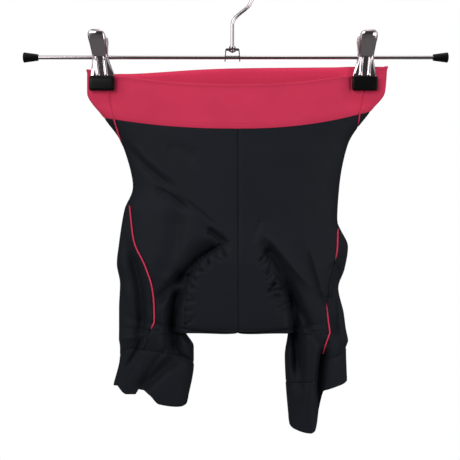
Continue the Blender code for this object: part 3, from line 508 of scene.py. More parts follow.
def surface(side, at, around, folded=True):
    """Points of the cloth's middle: at runs down the sections, around from the front centre to the back."""
    around = np.asarray(around, float)
    front = around <= 1.0
    face = np.where(front, -1.0, 1.0)
    share, out = curve_shares(at, around)
    inner = half(side, "inner", at)
    edge = half(side, "side", at)
    x = inner + (edge - inner) * share
    back_drop = section("front" if at >= CROTCH_ROW else "back", at)
    top_drop = np.where(front, section("front", at), back_drop)
    drop = top_drop + (half(side, "side_drop", at) - top_drop) * share**DROP_POWER
    if at > UNDER_ROW:
        under = section("front", UNDER_ROW)
        under = under + (half(side, "side_drop", UNDER_ROW) - under) * share**DROP_POWER
        seam = leg(side, "seam", around)
        hem = leg(side, "hem", around)
        down_leg = min((at - UNDER_ROW) / (SEAM_ROW - UNDER_ROW), 1)
        down_band = max((at - SEAM_ROW) / (HEM_ROW - SEAM_ROW), 0)
        drop = under + (seam - under) * down_leg + (hem - seam) * down_band
    if at < 1.0:
        beside_clip = np.exp(-(((x - TOP_DRAG_X) / TOP_DRAG_HALF_WIDTH) ** 2))
        beside_clip = beside_clip * smoothstep(np.abs(x - edge) / TOP_DRAG_FADE)
        drop = drop + np.where(front, 0.0, TOP_DRAG * (1 - at) * beside_clip)
    sag = CROTCH_SAG * smoothstep(at - CROTCH_ROW + 1)
    drop = drop + sag * np.exp(-(((x - CROTCH_SAG_X) / CROTCH_SAG_HALF_WIDTH) ** 2))
    deep = np.where(front, section("deep_front", at), section("deep_back", at))
    relief = np.zeros_like(x)
    if folded:
        relief[front] = fold_depth(-1, x[front], drop[front])
        relief[~front] = fold_depth(1, x[~front], drop[~front])
    away = deep * out * (1 - clip_pinch(x, drop)) - relief * np.clip(RELIEF_AT_EDGES * out, 0.0, 1.0)
    edge_turn = EDGE_TURN * (1 - smoothstep((section("closed", at) - 0.25) / 0.5))
    if edge_turn > 0.01:
        inset = 1 - np.minimum(np.abs(edge - x) / EDGE_TURN, 1)
        away = np.maximum(away, np.sqrt(np.clip(1 - inset**2, 0, 1)) * edge_turn)
    return np.stack([x, face * away, -BAR_BELOW_CROWN - drop], axis=-1)


def seam_place(side, at, name):
    """Where a lengthwise seam crosses one row, as a value of around."""
    table = [dict(zip(HALF_COLUMNS, row)) for row in SIDES[side][1]]
    from_edge = [(1 - row[name]) * abs(row["side"] - row["inner"]) for row in table]
    reach = abs(half(side, "side", at) - half(side, "inner", at))
    wanted = 1 - smooth_table(range(len(table)), from_edge, at) / reach
    around = np.linspace(0.0, 2.0, 801)
    share, _ = curve_shares(at, around)
    progress = np.where(around <= 1.0, share, 2.0 - share)
    return float(np.interp(float(wanted), np.maximum.accumulate(progress), around))


def spread(side, at, start, end, count, trim_start, trim_end):
    """count values of around between two places, closer together where the cloth turns."""
    around = np.linspace(start, end, 321)
    points = surface(side, at, around, folded=False)
    step = np.diff(points, axis=0)
    length = np.linalg.norm(step, axis=1)
    heading = step / np.maximum(length, 1e-9)[:, None]
    turn = np.arccos(np.clip((heading[1:] * heading[:-1]).sum(axis=1), -1, 1))
    weight = length.copy()
    weight[1:] += TURN_WEIGHT * turn
    run = run_lengths(points)
    first = np.interp(trim_start, run, around)
    last = np.interp(run[-1] - trim_end, run, around)
    measure = np.concatenate([[0.0], np.cumsum(weight)])
    low = np.interp(first, around, measure)
    high = np.interp(last, around, measure)
    return np.interp(np.linspace(low, high, count), measure, around)


def normals(side, at, around, folded=False):
    """Outward directions of the body's sections."""
    before = surface(side, at, np.clip(around - NORMAL_AROUND, 0.0, 2.0), folded)
    after = surface(side, at, np.clip(around + NORMAL_AROUND, 0.0, 2.0), folded)
    above = surface(side, max(at - NORMAL_DOWN, 0.0), around, folded)
    below = surface(side, min(at + NORMAL_DOWN, HEM_ROW), around, folded)
    return unit(np.cross(after - before, below - above) * -SIDES[side][0])


def seam_normal(at, side, end):
    """Outward direction that the pieces on both sides of a seam share."""
    if 0.0 < end < 2.0:
        meeting = ((side, end),)
    elif at > CROTCH_ROW:
        meeting = ((side, 0.0), (side, 2.0))
    elif at == CROTCH_ROW:
        meeting = (("left", 0.0), ("right", 0.0), ("left", 2.0), ("right", 2.0))
    else:
        meeting = (("left", end), ("right", end))
    return unit(sum(normals(which, at, np.array([place]))[0] for which, place in meeting))


def cloth_row(side, at, start, end, count, trim_start, trim_end):
    """Points and outward directions of one row between two values of around."""
    around = spread(side, at, start, end, count, trim_start, trim_end)
    outward = normals(side, at, around)
    outward[0] = seam_normal(at, side, start)
    outward[-1] = seam_normal(at, side, end)
    return surface(side, at, around), outward


def joined_rows(left, right):
    """One row that runs from one half into the other through the centre."""
    points = np.concatenate([left[0][::-1], right[0][1:]])
    outward = np.concatenate([left[1][::-1], right[1][1:]])
    middle = len(left[0]) - 1
    outward[middle] = unit(left[1][0] + right[1][0])
    return points, outward


def row_places(start, end, step):
    """Places between two sections, a step apart on average down the cloth."""
    at = np.linspace(start, end, 90)
    lines = [
        np.array([surface(side, place, np.array([0.0, 0.5, 1.0, 1.5, 2.0]), folded=False) for place in at])
        for side in SIDES
    ]
    lengths = sum(np.linalg.norm(np.diff(line, axis=0), axis=2).mean(axis=1) for line in lines) / len(lines)
    run = np.concatenate([[0.0], np.cumsum(lengths)])
    count = max(int(math.ceil(run[-1] / step)), 3)
    return np.interp(np.linspace(0, run[-1], count + 1), run, at)


def grid_of(rows):
    return np.array([row[0] for row in rows]), np.array([row[1] for row in rows])


def edge_distances(points):
    """Distance along the grid from each point to the top, right, bottom and left edges."""
    down = np.linalg.norm(np.diff(points, axis=0), axis=2)
    down = np.concatenate([np.zeros((1, points.shape[1])), np.cumsum(down, axis=0)])
    across = np.linalg.norm(np.diff(points, axis=1), axis=2)
    across = np.concatenate([np.zeros((points.shape[0], 1)), np.cumsum(across, axis=1)], axis=1)
    return down, across[:, -1:] - across, down[-1:] - down, across


def grid_quads(rows, columns):
    index = np.arange(rows * columns).reshape(rows, columns)
    return np.stack([index[:-1, :-1], index[:-1, 1:], index[1:, 1:], index[1:, :-1]], axis=-1).reshape(-1, 4)


def perimeter(rows, columns):
    index = np.arange(rows * columns).reshape(rows, columns)
    return np.concatenate([index[0], index[1:, -1], index[-1, -2::-1], index[-2:0:-1, 0]])


def shell(name, middle, outward, wall, bulges, sinks, finish, rim_steps=4):
    """A cloth piece: two faces round a grid's middle surface, with a rounded rim, as one closed mesh."""
    rows, columns = middle.shape[:2]
    distances = edge_distances(middle)
    sunk = sum(sink * np.exp(-((away / SINK_REACH) ** 2)) for sink, away in zip(sinks, distances))
    middle = middle - outward * sunk[..., None]
    beyond = np.zeros_like(middle)
    beyond[0] += unit(middle[0] - middle[1]) * bulges[0]
    beyond[:, -1] += unit(middle[:, -1] - middle[:, -2]) * bulges[1]
    beyond[-1] += unit(middle[-1] - middle[-2]) * bulges[2]
    beyond[:, 0] += unit(middle[:, 0] - middle[:, 1]) * bulges[3]
    count = rows * columns
    flat_middle, flat_out = middle.reshape(-1, 3), outward.reshape(-1, 3)
    ring = perimeter(rows, columns)
    points = [flat_middle + flat_out * wall / 2, flat_middle - flat_out * wall / 2]
    rings = [ring]
    for step in range(1, rim_steps):
        turn = math.pi * step / rim_steps
        rings.append(2 * count + (step - 1) * len(ring) + np.arange(len(ring)))
        points.append(
            flat_middle[ring]
            + flat_out[ring] * wall / 2 * math.cos(turn)
            + beyond.reshape(-1, 3)[ring] * math.sin(turn)
        )
    rings.append(ring + count)
    quads = grid_quads(rows, columns)
    faces = [quads, quads[:, ::-1] + count]
    for first, second in zip(rings, rings[1:]):
        faces.append(np.stack([np.roll(first, -1), first, second, np.roll(second, -1)], axis=-1))
    down, _, _, across = distances
    along = across - across[:, columns // 2 : columns // 2 + 1]
    fallen = -down.mean(axis=1, keepdims=True) + np.zeros_like(along)
    cloth_uv = np.stack([along, fallen], axis=-1).reshape(-1, 2)
    uv = np.concatenate([cloth_uv, cloth_uv] + [cloth_uv[ring]] * (rim_steps - 1)) * MM
    inside = np.concatenate([np.zeros(count), np.ones(count), np.zeros(len(ring) * (rim_steps - 1))])
    grids[name] = (middle + outward * wall / 2, outward)
    return piece(name, np.concatenate(points), np.concatenate(faces), finish, uv, inside)


def signed_volume(points, faces):
    corners = [points[faces[:, i]] for i in range(faces.shape[1])]
    total = 0.0
    for second, third in zip(corners[1:], corners[2:]):
        total += np.einsum("ij,ij->i", corners[0], np.cross(second, third)).sum()
    return total


def add_object(name, mesh, finish):
    mesh.materials.append(finish)
    mesh.shade_smooth()
    made = bpy.data.objects.new(name, mesh)
    bpy.context.scene.collection.objects.link(made)
    return made


def ring_quads(rings, sides):
    """Quads between rings of points, each ring closed on itself."""
    index = np.arange(rings * sides).reshape(rings, sides)
    after = np.roll(index, -1, axis=1)
    return index, np.stack([index[:-1], after[:-1], after[1:], index[1:]], axis=-1).reshape(-1, 4)


def piece(name, points, faces, finish, uv=None, inside=None):
    """A finished object from points in millimetres, with faces that point outwards."""
    faces = np.asarray(faces)
    if signed_volume(points, faces) < 0:
        faces = faces[:, ::-1]
    mesh = bpy.data.meshes.new(name)
    mesh.from_pydata((points * MM).tolist(), [], faces.tolist())
    if uv is not None:
        layer = mesh.uv_layers.new(name="cloth")
        corner_vertex = np.empty(len(mesh.loops), np.int32)
        mesh.loops.foreach_get("vertex_index", corner_vertex)
        layer.data.foreach_set("uv", uv[corner_vertex].astype(np.float32).ravel())
    if inside is not None:
        mark = mesh.attributes.new("inside", "FLOAT", "POINT")
        mark.data.foreach_set("value", inside.astype(np.float32))
    return add_object(name, mesh, finish)


def show(made, slot, *nodes):
    """The piece rides on the one body and stands for these nodes."""
    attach(made, BODY)
    if nodes:
        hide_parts(*nodes)


# How far the rings of a rod's domed end lie out, as shares of its radius.
DOME_SHARES = (0.45, 0.8, 0.98)


def tube_points(line, radius, sides):
    """Rings of a round rod along a line of points, with domed ends."""
    line = np.asarray(line, float)
    tangent = unit(np.gradient(line, axis=0))
    side = np.cross(tangent[0], (0.0, 0.31, 0.95))
    if np.linalg.norm(side) < 0.1:
        side = np.cross(tangent[0], (0.0, 1.0, 0.0))
    side = unit(side)
    angles = np.linspace(0, 2 * math.pi, sides, endpoint=False)
    rings = []
    for i, (centre, heading) in enumerate(zip(line, tangent)):
        side = unit(side - heading * (side @ heading))
        other = np.cross(heading, side)
        circle = np.cos(angles)[:, None] * side + np.sin(angles)[:, None] * other
        dome = DOME_SHARES if i == 0 else ()
        for back in dome[::-1]:
            rings.append(centre - heading * radius * back + circle * radius * math.sqrt(1 - back**2))
        rings.append(centre + circle * radius)
        dome = DOME_SHARES if i == len(line) - 1 else ()
        for ahead in dome:
            rings.append(centre + heading * radius * ahead + circle * radius * math.sqrt(1 - ahead**2))
    return np.array(rings)


def tube(name, line, radius, finish, sides=16):
    rings = tube_points(line, radius, sides)
    index, quads = ring_quads(len(rings), sides)
    points = rings.reshape(-1, 3)
    faces = [*quads.tolist(), index[0, ::-1].tolist(), index[-1].tolist()]
    if signed_volume(points, quads) < 0:
        faces = [face[::-1] for face in faces]
    mesh = bpy.data.meshes.new(name)
    mesh.from_pydata((points * MM).tolist(), [], faces)
    return add_object(name, mesh, finish)


def turned(name, profile, finish, centre, axis="Z", steps=48):
    """A body turned about an axis from (radius, place along the axis) points that run down its outer side."""
    profile = np.array(profile, float)
    angles = np.linspace(0, 2 * math.pi, steps, endpoint=False)
    radius, along = profile[:, :1], np.repeat(profile[:, 1:], steps, axis=1)
    rings = np.stack([radius * np.cos(angles), radius * np.sin(angles), along], axis=-1)
    if axis == "X":
        rings = rings[..., [2, 0, 1]]
    index = np.arange(len(profile) * steps).reshape(len(profile), steps)
    after = np.roll(index, -1, axis=1)
    pairs = [(i, i + 1) for i in range(len(profile) - 1)]
    if profile[0, 0] > 0:
        pairs.append((len(profile) - 1, 0))
    faces = np.concatenate([np.stack([index[i], after[i], after[j], index[j]], axis=-1) for i, j in pairs])
    made = piece(name, rings.reshape(-1, 3) + np.array(centre), faces, finish)
    weld(made)
    return made


def weld(made):
    """Closes poles and doubled points."""
    body = bmesh.new()
    body.from_mesh(made.data)
    bmesh.ops.remove_doubles(body, verts=body.verts, dist=1e-6)
    bmesh.ops.dissolve_degenerate(body, edges=body.edges, dist=1e-7)
    body.to_mesh(made.data)
    body.free()
    made.data.shade_smooth()
    made.data.set_sharp_from_angle(angle=math.radians(40))


# Materials

# Painted light: the waistband's inner face is painted lighter than its own colour, to stand in for the light
# that falls on it.
INSIDE_PAINTED_LIGHT = 1.35
# Stage, in metres
FLOOR_RADIUS = 0.55
CAMERA_X, CAMERA_Z = -0.00226, -0.2492
LIGHT_TARGET = (0.0, 0.0, -0.25)
# Each light: its place, its size, the power that it takes and its share of it.
LIGHTS = (
    ("key", (-0.75, -1.25, 0.45), 0.9, "key_power", 1.0),
    ("fill", (1.1, -1.0, -0.3), 0.8, "fill_power", 1.0),
    ("top", (0.1, -0.1, 0.9), 0.7, "fill_power", 0.6),
    ("behind", (0.2, 1.3, 0.3), 0.9, "fill_power", 0.85),
)
# Brightness of the parts of the room that the metal reflects.
ROOM_GLOW = {"everywhere": 0.07, "canopy": 0.3, "walls": 0.85, "ground": 0.12}


class Graph:
    """Adds and links the nodes of one material or of the world."""

    def __init__(self, tree):
        self.new, self.link = tree.nodes.new, tree.links.new

    def set(self, socket, value):
        """Links an output to the socket, or gives it a constant."""
        if isinstance(value, (int, float, tuple)):
            socket.default_value = value
        elif value is not None:
            self.link(value, socket)

    def math(self, operation, first, second=None):
        node = self.new("ShaderNodeMath")
        node.operation = operation
        self.set(node.inputs[0], first)
        self.set(node.inputs[1], second)
        return node.outputs[0]

    def ramp(self, value, low, high):
        """0 at low and 1 at high, with a soft step between them."""
        node = self.new("ShaderNodeMapRange")
        node.interpolation_type = "SMOOTHSTEP"
        node.inputs["From Min"].default_value = low
        node.inputs["From Max"].default_value = high
        self.link(value, node.inputs["Value"])
        return node.outputs["Result"]

    def noise(self, scale, detail):
        node = self.new("ShaderNodeTexNoise")
        node.inputs["Scale"].default_value = scale
        node.inputs["Detail"].default_value = detail
        self.link(self.new("ShaderNodeTexCoord").outputs["Object"], node.inputs["Vector"])
        return node.outputs["Fac"]

    def mix(self, share, first, second):
        node = self.new("ShaderNodeMix")
        node.data_type = "RGBA"
        self.set(node.inputs["A"], first)
        self.set(node.inputs["B"], second)
        self.link(share, node.inputs["Factor"])
        return node.outputs["Result"]

    def bump(self, shader, height, strength, distance):
        node = self.new("ShaderNodeBump")
        node.inputs["Strength"].default_value = strength
        node.inputs["Distance"].default_value = distance
        self.link(height, node.inputs["Height"])
        self.link(node.outputs["Normal"], shader.inputs["Normal"])

    def parts(self, vector):
        node = self.new("ShaderNodeSeparateXYZ")
        self.link(vector, node.inputs[0])
        return node.outputs


def new_material(name):
    made = bpy.data.materials.new(name)
    made.use_nodes = True
    return made, Graph(made.node_tree), made.node_tree.nodes["Principled BSDF"]


def brighter(colour, factor):
    return (*(min(c * factor, 1.0) for c in colour), 1.0)


def set_shader(shader, **values):
    """Constants on the shader's own sockets, with underscores for spaces in their names."""
    for name, value in values.items():
        shader.inputs[name.replace("_", " ")].default_value = value


def knit_material(name, colour, gauge, sheen, roughness, ribs=0.0):
    """Fine jersey: rows of small V stitches on the cloth's own map, painted shade between the stitches, a
    painted lighter inner face where it has ribs, a soft sheen and slight unevenness.
    """
    made, graph, shader = new_material(name)
    cloth_map = graph.new("ShaderNodeUVMap")
    cloth_map.uv_map = "cloth"
    across, down, _ = graph.parts(cloth_map.outputs["UV"])
    wale = graph.math("DIVIDE", across, gauge)
    course = graph.math("DIVIDE", down, gauge * 0.8)
    slant = graph.math("PINGPONG", wale, 0.5)
    stitch = graph.math("ADD", course, graph.math("MULTIPLY", slant, 1.4))
    stitch = graph.math("SINE", graph.math("MULTIPLY", stitch, 2 * math.pi))
    column_wave = graph.math("SINE", graph.math("MULTIPLY", wale, 4 * math.pi))
    height = graph.math("ADD", stitch, graph.math("MULTIPLY", column_wave, 0.5))
    height = graph.math("ADD", height, graph.math("MULTIPLY", graph.noise(2600.0, 2.0), 1.2))
    if ribs:
        inside = graph.new("ShaderNodeAttribute")
        inside.attribute_name = "inside"
        rib = graph.math("SINE", graph.math("MULTIPLY", across, 2 * math.pi / ribs))
        rib = graph.math("MULTIPLY", rib, inside.outputs["Fac"])
        height = graph.math("ADD", height, graph.math("MULTIPLY", rib, 12.0))
    graph.bump(shader, height, 0.14, 0.00006)
    # Painted shade: the colour is darker between the stitches and lighter on their crests, following the
    # bump's height.
    stitch_shade = graph.math("MULTIPLY", graph.math("ADD", stitch, 1.0), 0.05)
    share = graph.math("ADD", graph.noise(34.0, 4.0), stitch_shade)
    paint = graph.mix(share, brighter(colour, 0.9), brighter(colour, 1.12))
    if ribs:
        # Painted light: the inner face gets a lighter copy of the cloth's colour.
        paint = graph.mix(inside.outputs["Fac"], paint, brighter(colour, INSIDE_PAINTED_LIGHT))
    graph.link(paint, shader.inputs["Base Color"])
    rough = graph.math("MULTIPLY", graph.noise(90.0, 3.0), 0.12)
    graph.link(graph.math("ADD", rough, roughness - 0.06), shader.inputs["Roughness"])
    set_shader(shader, Sheen_Weight=sheen, Sheen_Roughness=0.4, Specular_IOR_Level=0.09)
    return made


def plain_material(name, colour, clouds, dark, light):
    """A material whose colour wavers between a darker and a lighter shade."""
    made, graph, shader = new_material(name)
    paint = graph.mix(graph.noise(*clouds), brighter(colour, dark), brighter(colour, light))
    graph.link(paint, shader.inputs["Base Color"])
    return made, graph, shader


def thread_material(name, colour):
    """Twisted sewing thread."""
    made, _, shader = plain_material(name, colour, (1500.0, 2.0), 0.8, 1.25)
    set_shader(shader, Roughness=0.55, Sheen_Weight=0.03, Specular_IOR_Level=0.15)
    return made


def chrome_material(name, colour):
    """Bright plated steel with faint wipe marks."""
    made, graph, shader = plain_material(name, colour, (70.0, 3.0), 0.88, 1.0)
    marks = graph.math("MULTIPLY", graph.noise(160.0, 4.0), 0.1)
    graph.link(graph.math("ADD", marks, 0.02), shader.inputs["Roughness"])
    set_shader(shader, Metallic=1.0)
    return made


def rubber_material(name, colour):
    """Moulded rubber with a fine grain."""
    made, graph, shader = plain_material(name, colour, (120.0, 3.0), 0.8, 1.4)
    graph.bump(shader, graph.noise(1400.0, 3.0), 0.3, 0.00008)
    set_shader(shader, Roughness=0.38, Specular_IOR_Level=0.13)
    return made


# Each finish: its maker, its colour among the user's, and the maker's other values.
FINISHES = {
    "black_jersey": (knit_material, "black", 0.00055, 0.02, 0.62),
    "black_band_knit": (knit_material, "black", 0.0007, 0.02, 0.66),
    "raspberry_band_knit": (knit_material, "raspberry", 0.0006, 0.06, 0.66, 0.0016),
    "raspberry_cord": (thread_material, "raspberry"),
    "pad_fleece": (knit_material, "pad", 0.0009, 0.5, 0.8),
    "black_thread": (thread_material, "black_thread"),
    "raspberry_thread": (thread_material, "raspberry_thread"),
    "bright_chrome": (chrome_material, "chrome"),
    "grey_rubber": (rubber_material, "rubber"),
}


def finish_named(name):
    """The finish of that name, made from the user's colours the first time."""
    maker, colour, *values = FINISHES[name]
    colour = getattr(bpy.context.scene.shorts_colours, colour)
    return bpy.data.materials.get(name) or maker(name, colour, *values)


# Stitches


def stitch_tree():
    """Small thread stitches, evenly spaced along every line of the mesh it is given."""
    tree = bpy.data.node_groups.new("stitch_rows", "GeometryNodeTree")
    tree.interface.new_socket("Lines", in_out="INPUT", socket_type="NodeSocketGeometry")
    for label, value in (("Stitch pitch", 0.003), ("Stitch length", 0.0021), ("Thread radius", 0.00022)):
        socket = tree.interface.new_socket(label, in_out="INPUT", socket_type="NodeSocketFloat")
        socket.default_value = value
        socket.subtype = "DISTANCE"
    tree.interface.new_socket("Thread", in_out="INPUT", socket_type="NodeSocketMaterial")
    tree.interface.new_socket("Stitches", in_out="OUTPUT", socket_type="NodeSocketGeometry")
    nodes, links = tree.nodes, tree.links
    given, result = nodes.new("NodeGroupInput"), nodes.new("NodeGroupOutput")
    to_curve = nodes.new("GeometryNodeMeshToCurve")
    points = nodes.new("GeometryNodeCurveToPoints")
    points.mode = "LENGTH"
    stitch = nodes.new("GeometryNodeMeshUVSphere")
    stitch.inputs["Segments"].default_value = 6
    stitch.inputs["Rings"].default_value = 4
    stitch.inputs["Radius"].default_value = 1.0
    size = nodes.new("ShaderNodeCombineXYZ")
    half_length = nodes.new("ShaderNodeMath")
    half_length.operation = "MULTIPLY"
    half_length.inputs[1].default_value = 0.5
    place = nodes.new("GeometryNodeInstanceOnPoints")
    realize = nodes.new("GeometryNodeRealizeInstances")
    paint = nodes.new("GeometryNodeSetMaterial")
    for source, socket, target, entry in (
        (given, "Lines", to_curve, "Mesh"),
        (to_curve, "Curve", points, "Curve"),
        (given, "Stitch pitch", points, "Length"),
        (given, "Stitch length", half_length, 0),
        (given, "Thread radius", size, "X"),
        (given, "Thread radius", size, "Y"),
        (half_length, 0, size, "Z"),
        (points, "Points", place, "Points"),
        (stitch, "Mesh", place, "Instance"),
        (points, "Rotation", place, "Rotation"),
        (size, 0, place, "Scale"),
        (place, "Instances", realize, "Geometry"),
        (realize, "Geometry", paint, "Geometry"),
        (given, "Thread", paint, "Material"),
        (paint, "Geometry", result, "Stitches"),
    ):
        links.new(source.outputs[socket], target.inputs[entry])
    return tree


def stitched(name, lines, finish, slot):
    """Stitches along these lines of points, as one plain mesh."""
    sizes = bpy.context.scene.shorts_sizes
    points = np.concatenate(lines) * MM
    edges, start = [], 0
    for line in lines:
        edges += [(start + i, start + i + 1) for i in range(len(line) - 1)]
        start += len(line)
    guide_mesh = bpy.data.meshes.new(name + "_guide")
    guide_mesh.from_pydata(points.tolist(), edges, [])
    guide = bpy.data.objects.new(name + "_guide", guide_mesh)
    bpy.context.scene.collection.objects.link(guide)
    tree = bpy.data.node_groups.get("stitch_rows") or stitch_tree()
    modifier = guide.modifiers.new("stitches", "NODES")
    modifier.node_group = tree
    values = {
        "Stitch pitch": sizes.stitch_pitch,
        "Stitch length": sizes.stitch_length,
        "Thread radius": sizes.thread_radius,
        "Thread": finish,
    }
    for item in tree.interface.items_tree:
        if item.name in values and item.in_out == "INPUT":
            modifier[item.identifier] = values[item.name]
    graph = bpy.context.evaluated_depsgraph_get()
    graph.update()
    mesh = bpy.data.meshes.new_from_object(guide.evaluated_get(graph))
    bpy.data.objects.remove(guide, do_unlink=True)
    if not mesh.polygons:
        raise RuntimeError(f"{name}: no stitches were made")
    mesh.shade_smooth()
    mesh.name = name
    made = bpy.data.objects.new(name, mesh)
    bpy.context.scene.collection.objects.link(made)
    show(made, slot)


def true_normals(points, outward):
    """Normals of the folded grid, on the side that the outward directions give."""
    across = np.gradient(points, axis=1)
    down = np.gradient(points, axis=0)
    found = unit(np.cross(across, down))
    return found * np.sign((found * outward).sum(axis=2, keepdims=True) + 1e-12)


def edge_line(node, edge, inset, trim=0):
    """A line on a piece's outer face, at a distance from one of its edges."""
    if node not in grids:
        raise RuntimeError(f"{node} has to be made before its stitches")
    points, outward = grids[node]
    up = true_normals(points, outward)
    if edge in ("top", "bottom"):
        points, up = points.transpose(1, 0, 2), up.transpose(1, 0, 2)
    if edge in ("right", "bottom"):
        points, up = points[:, ::-1], up[:, ::-1]
    line = []
    for row, normal in zip(points, up):
        lengths = run_lengths(row)
        at = [np.interp(inset, lengths, row[:, i]) for i in range(3)]
        out = [np.interp(inset, lengths, normal[:, i]) for i in range(3)]
        line.append(np.array(at) + np.array(out) * STITCH_LIFT)
    return np.array(line[trim : len(line) - trim])


def arch_line(side):
    """The pad's stitched arch, laid on the outer face of one front panel."""
    points, outward = grids[f"front_{side}_cloth"]
    up = true_normals(points, outward).reshape(-1, 3)
    points = points.reshape(-1, 3)
    line = []
    for x, drop in along_line(PAD_ARCH[side], np.linspace(0.02, 0.98, 60)):
        away = (points[:, 0] - x) ** 2 + (points[:, 2] + BAR_BELOW_CROWN + drop) ** 2
        # A folded wall can pass the same place twice; the layer nearest to the front is sewn.
        near = np.argsort(away)[:6]
        front = near[points[near, 1].argmin()]
        line.append(points[front] + up[front] * STITCH_LIFT)
    return np.array(line)


# Pieces


def make_waistband():
    step, wall = size_mm("cloth_step"), size_mm("band_wall")
    front, back = [], []
    front_count = int(BAND_FRONT_WIDTH / step)
    back_count = int(BAND_BACK_WIDTH / step)
    for at in row_places(0.0, BAND_BOTTOM_ROW - BAND_SEAM_ROWS, step * BAND_FINER):
        halves, rears = [], []
        for side in SIDES:
            seam = seam_place(side, at, "piped")
            halves.append(cloth_row(side, at, 0.0, seam, front_count, 0.0, GAP / 2))
            points, outward = cloth_row(side, at, seam, 2.0, back_count, GAP / 2, 0.0)
            rears.append((points[::-1], outward[::-1]))
        front.append(joined_rows(*halves))
        back.append(joined_rows(*rears))
    finish = finish_named("raspberry_band_knit")
    bulges = (wall / 2, 0.15, 0.3, 0.15)
    for node, rows in (("waistband_front", front), ("waistband_back", back)):
        made = shell(node + "_cloth", *grid_of(rows), wall, bulges, BAND_SINKS, finish)
        show(made, "raspberry_knit", node)


def panel_grid(side, ats, first, last, count):
    rows = []
    for at in ats:
        start = 0.0 if first is None else seam_place(side, at, first)
        end = 2.0 if last is None else seam_place(side, at, last)
        rows.append(cloth_row(side, at, start, end, count, SEAM_TRIM, SEAM_TRIM))
    return grid_of(rows)


def make_panels(side):
    wall, bulges = size_mm("panel_wall"), (SEAM_BULGE,) * 4
    for node, first, last, width, finer in (
        (f"front_{side}", None, "piped", FRONT_WIDTH, FRONT_FINER),
        (f"side_{side}", "piped", "rear", SIDE_WIDTH, 1.0),
        (f"back_{side}", "rear", None, BACK_WIDTH, 1.0),
    ):
        step = size_mm("cloth_step") * finer
        ats = row_places(BAND_BOTTOM_ROW + BAND_SEAM_ROWS, SEAM_ROW - LEG_SEAM_ROWS, step)
        grid = panel_grid(side, ats, first, last, int(width / step))
        made = shell(node + "_cloth", *grid, wall, bulges, PANEL_SINKS, finish_named("black_jersey"))
        show(made, "black_knit", node)


def make_leg_band(side):
    step, wall = size_mm("cloth_step"), size_mm("band_wall")
    node = f"leg_band_{side}"
    ats = row_places(SEAM_ROW + LEG_SEAM_ROWS / 2, HEM_ROW, step)
    grid = panel_grid(side, ats, None, None, int(LEG_BAND_ROUND / step))
    bulges = (SEAM_BULGE, SEAM_BULGE, wall / 2, SEAM_BULGE)
    made = shell(node + "_cloth", *grid, wall, bulges, LEG_BAND_SINKS, finish_named("black_band_knit"))
    show(made, "black_knit", node)


def make_piping(side):
    """A round cord on the seam between the front and side panels, lifted off both."""
    radius, half_wall = size_mm("piping_radius"), size_mm("panel_wall") / 2
    centres = []
    for at in row_places(BAND_BOTTOM_ROW + 0.02, PIPING_END_ROW, PIPING_STEP):
        around = np.array([seam_place(side, at, "piped")])
        points = surface(side, at, around)
        outward = normals(side, at, around, folded=True)
        low, high = PIPING_HIDDEN[side]
        into, out_of = (at - low) / PIPING_DIP_ROWS + 0.5, (high - at) / PIPING_DIP_ROWS + 0.5
        dip = PIPING_DIP * smoothstep(into) * smoothstep(out_of)
        centres.append((points + outward * (half_wall + PIPING_LIFT + radius - dip))[0])
    centres = smoothed(np.array(centres), PIPING_SMOOTHING)
    made = tube(f"piping_{side}_cord", centres, radius, finish_named("raspberry_cord"), 14)
    show(made, "raspberry_knit", f"piping_{side}")


def make_pad():
    """The foam pad inside the crotch, with its sewn channels."""
    line = dict(zip(PAD_LINE_COLUMNS, zip(*PAD_LINE)))
    stations = range(len(PAD_LINE))
    last = len(PAD_LINE) - 1
    middles, outs = [], []
    across = np.linspace(-1, 1, PAD_COLUMNS)[:, None]
    for place in np.linspace(0, last, PAD_ROWS):
        low, high = max(place - 0.1, 0), min(place + 0.1, last)
        here = {name: float(smooth_table(stations, line[name], place)) for name in PAD_LINE_COLUMNS}
        slope_y, slope_drop = (
            float(smooth_table(stations, line[name], high) - smooth_table(stations, line[name], low))
            for name in ("y", "drop")
        )
        outward = unit(np.array([0.0, -slope_drop, -slope_y]))
        centre = (here["left"] + here["right"]) / 2
        reach = (here["right"] - here["left"]) / 2
        x = centre + across * reach
        points = np.hstack([x, np.full_like(x, here["y"]), np.full_like(x, -BAR_BELOW_CROWN - here["drop"])])
        relief = np.zeros_like(across)
        for share, depth, width in PAD_CHANNELS:
            relief += depth * np.exp(-(((np.abs(across) - share) / width) ** 2))
        middles.append(points - outward * (across**4 + PAD_RELIEF * relief))
        outs.append(np.tile(outward, (len(across), 1)))
    wall = size_mm("pad_wall")
    bulges = (wall / 2,) * 4
    finish = finish_named("pad_fleece")
    made = shell("seat_pad_foam", np.array(middles), np.array(outs), wall, bulges, (0,) * 4, finish, 6)
    show(made, "pad_foam", "seat_pad")


def make_stitches():
    raspberry, black = [], []
    for node in ("waistband_front_cloth", "waistband_back_cloth"):
        raspberry += [edge_line(node, "bottom", inset) for inset in BAND_STITCH_ROWS]
    for side in SIDES:
        black.append(edge_line(f"leg_band_{side}_cloth", "top", LEG_SEAM_STITCHES, STITCH_TRIM))
        black.append(edge_line(f"leg_band_{side}_cloth", "bottom", HEM_STITCHES, STITCH_TRIM))
        black.append(arch_line(side))
    stitched("waistband_stitches", raspberry, finish_named("raspberry_thread"), "raspberry_knit")
    stitched("seam_stitches", black, finish_named("black_thread"), "black_knit")


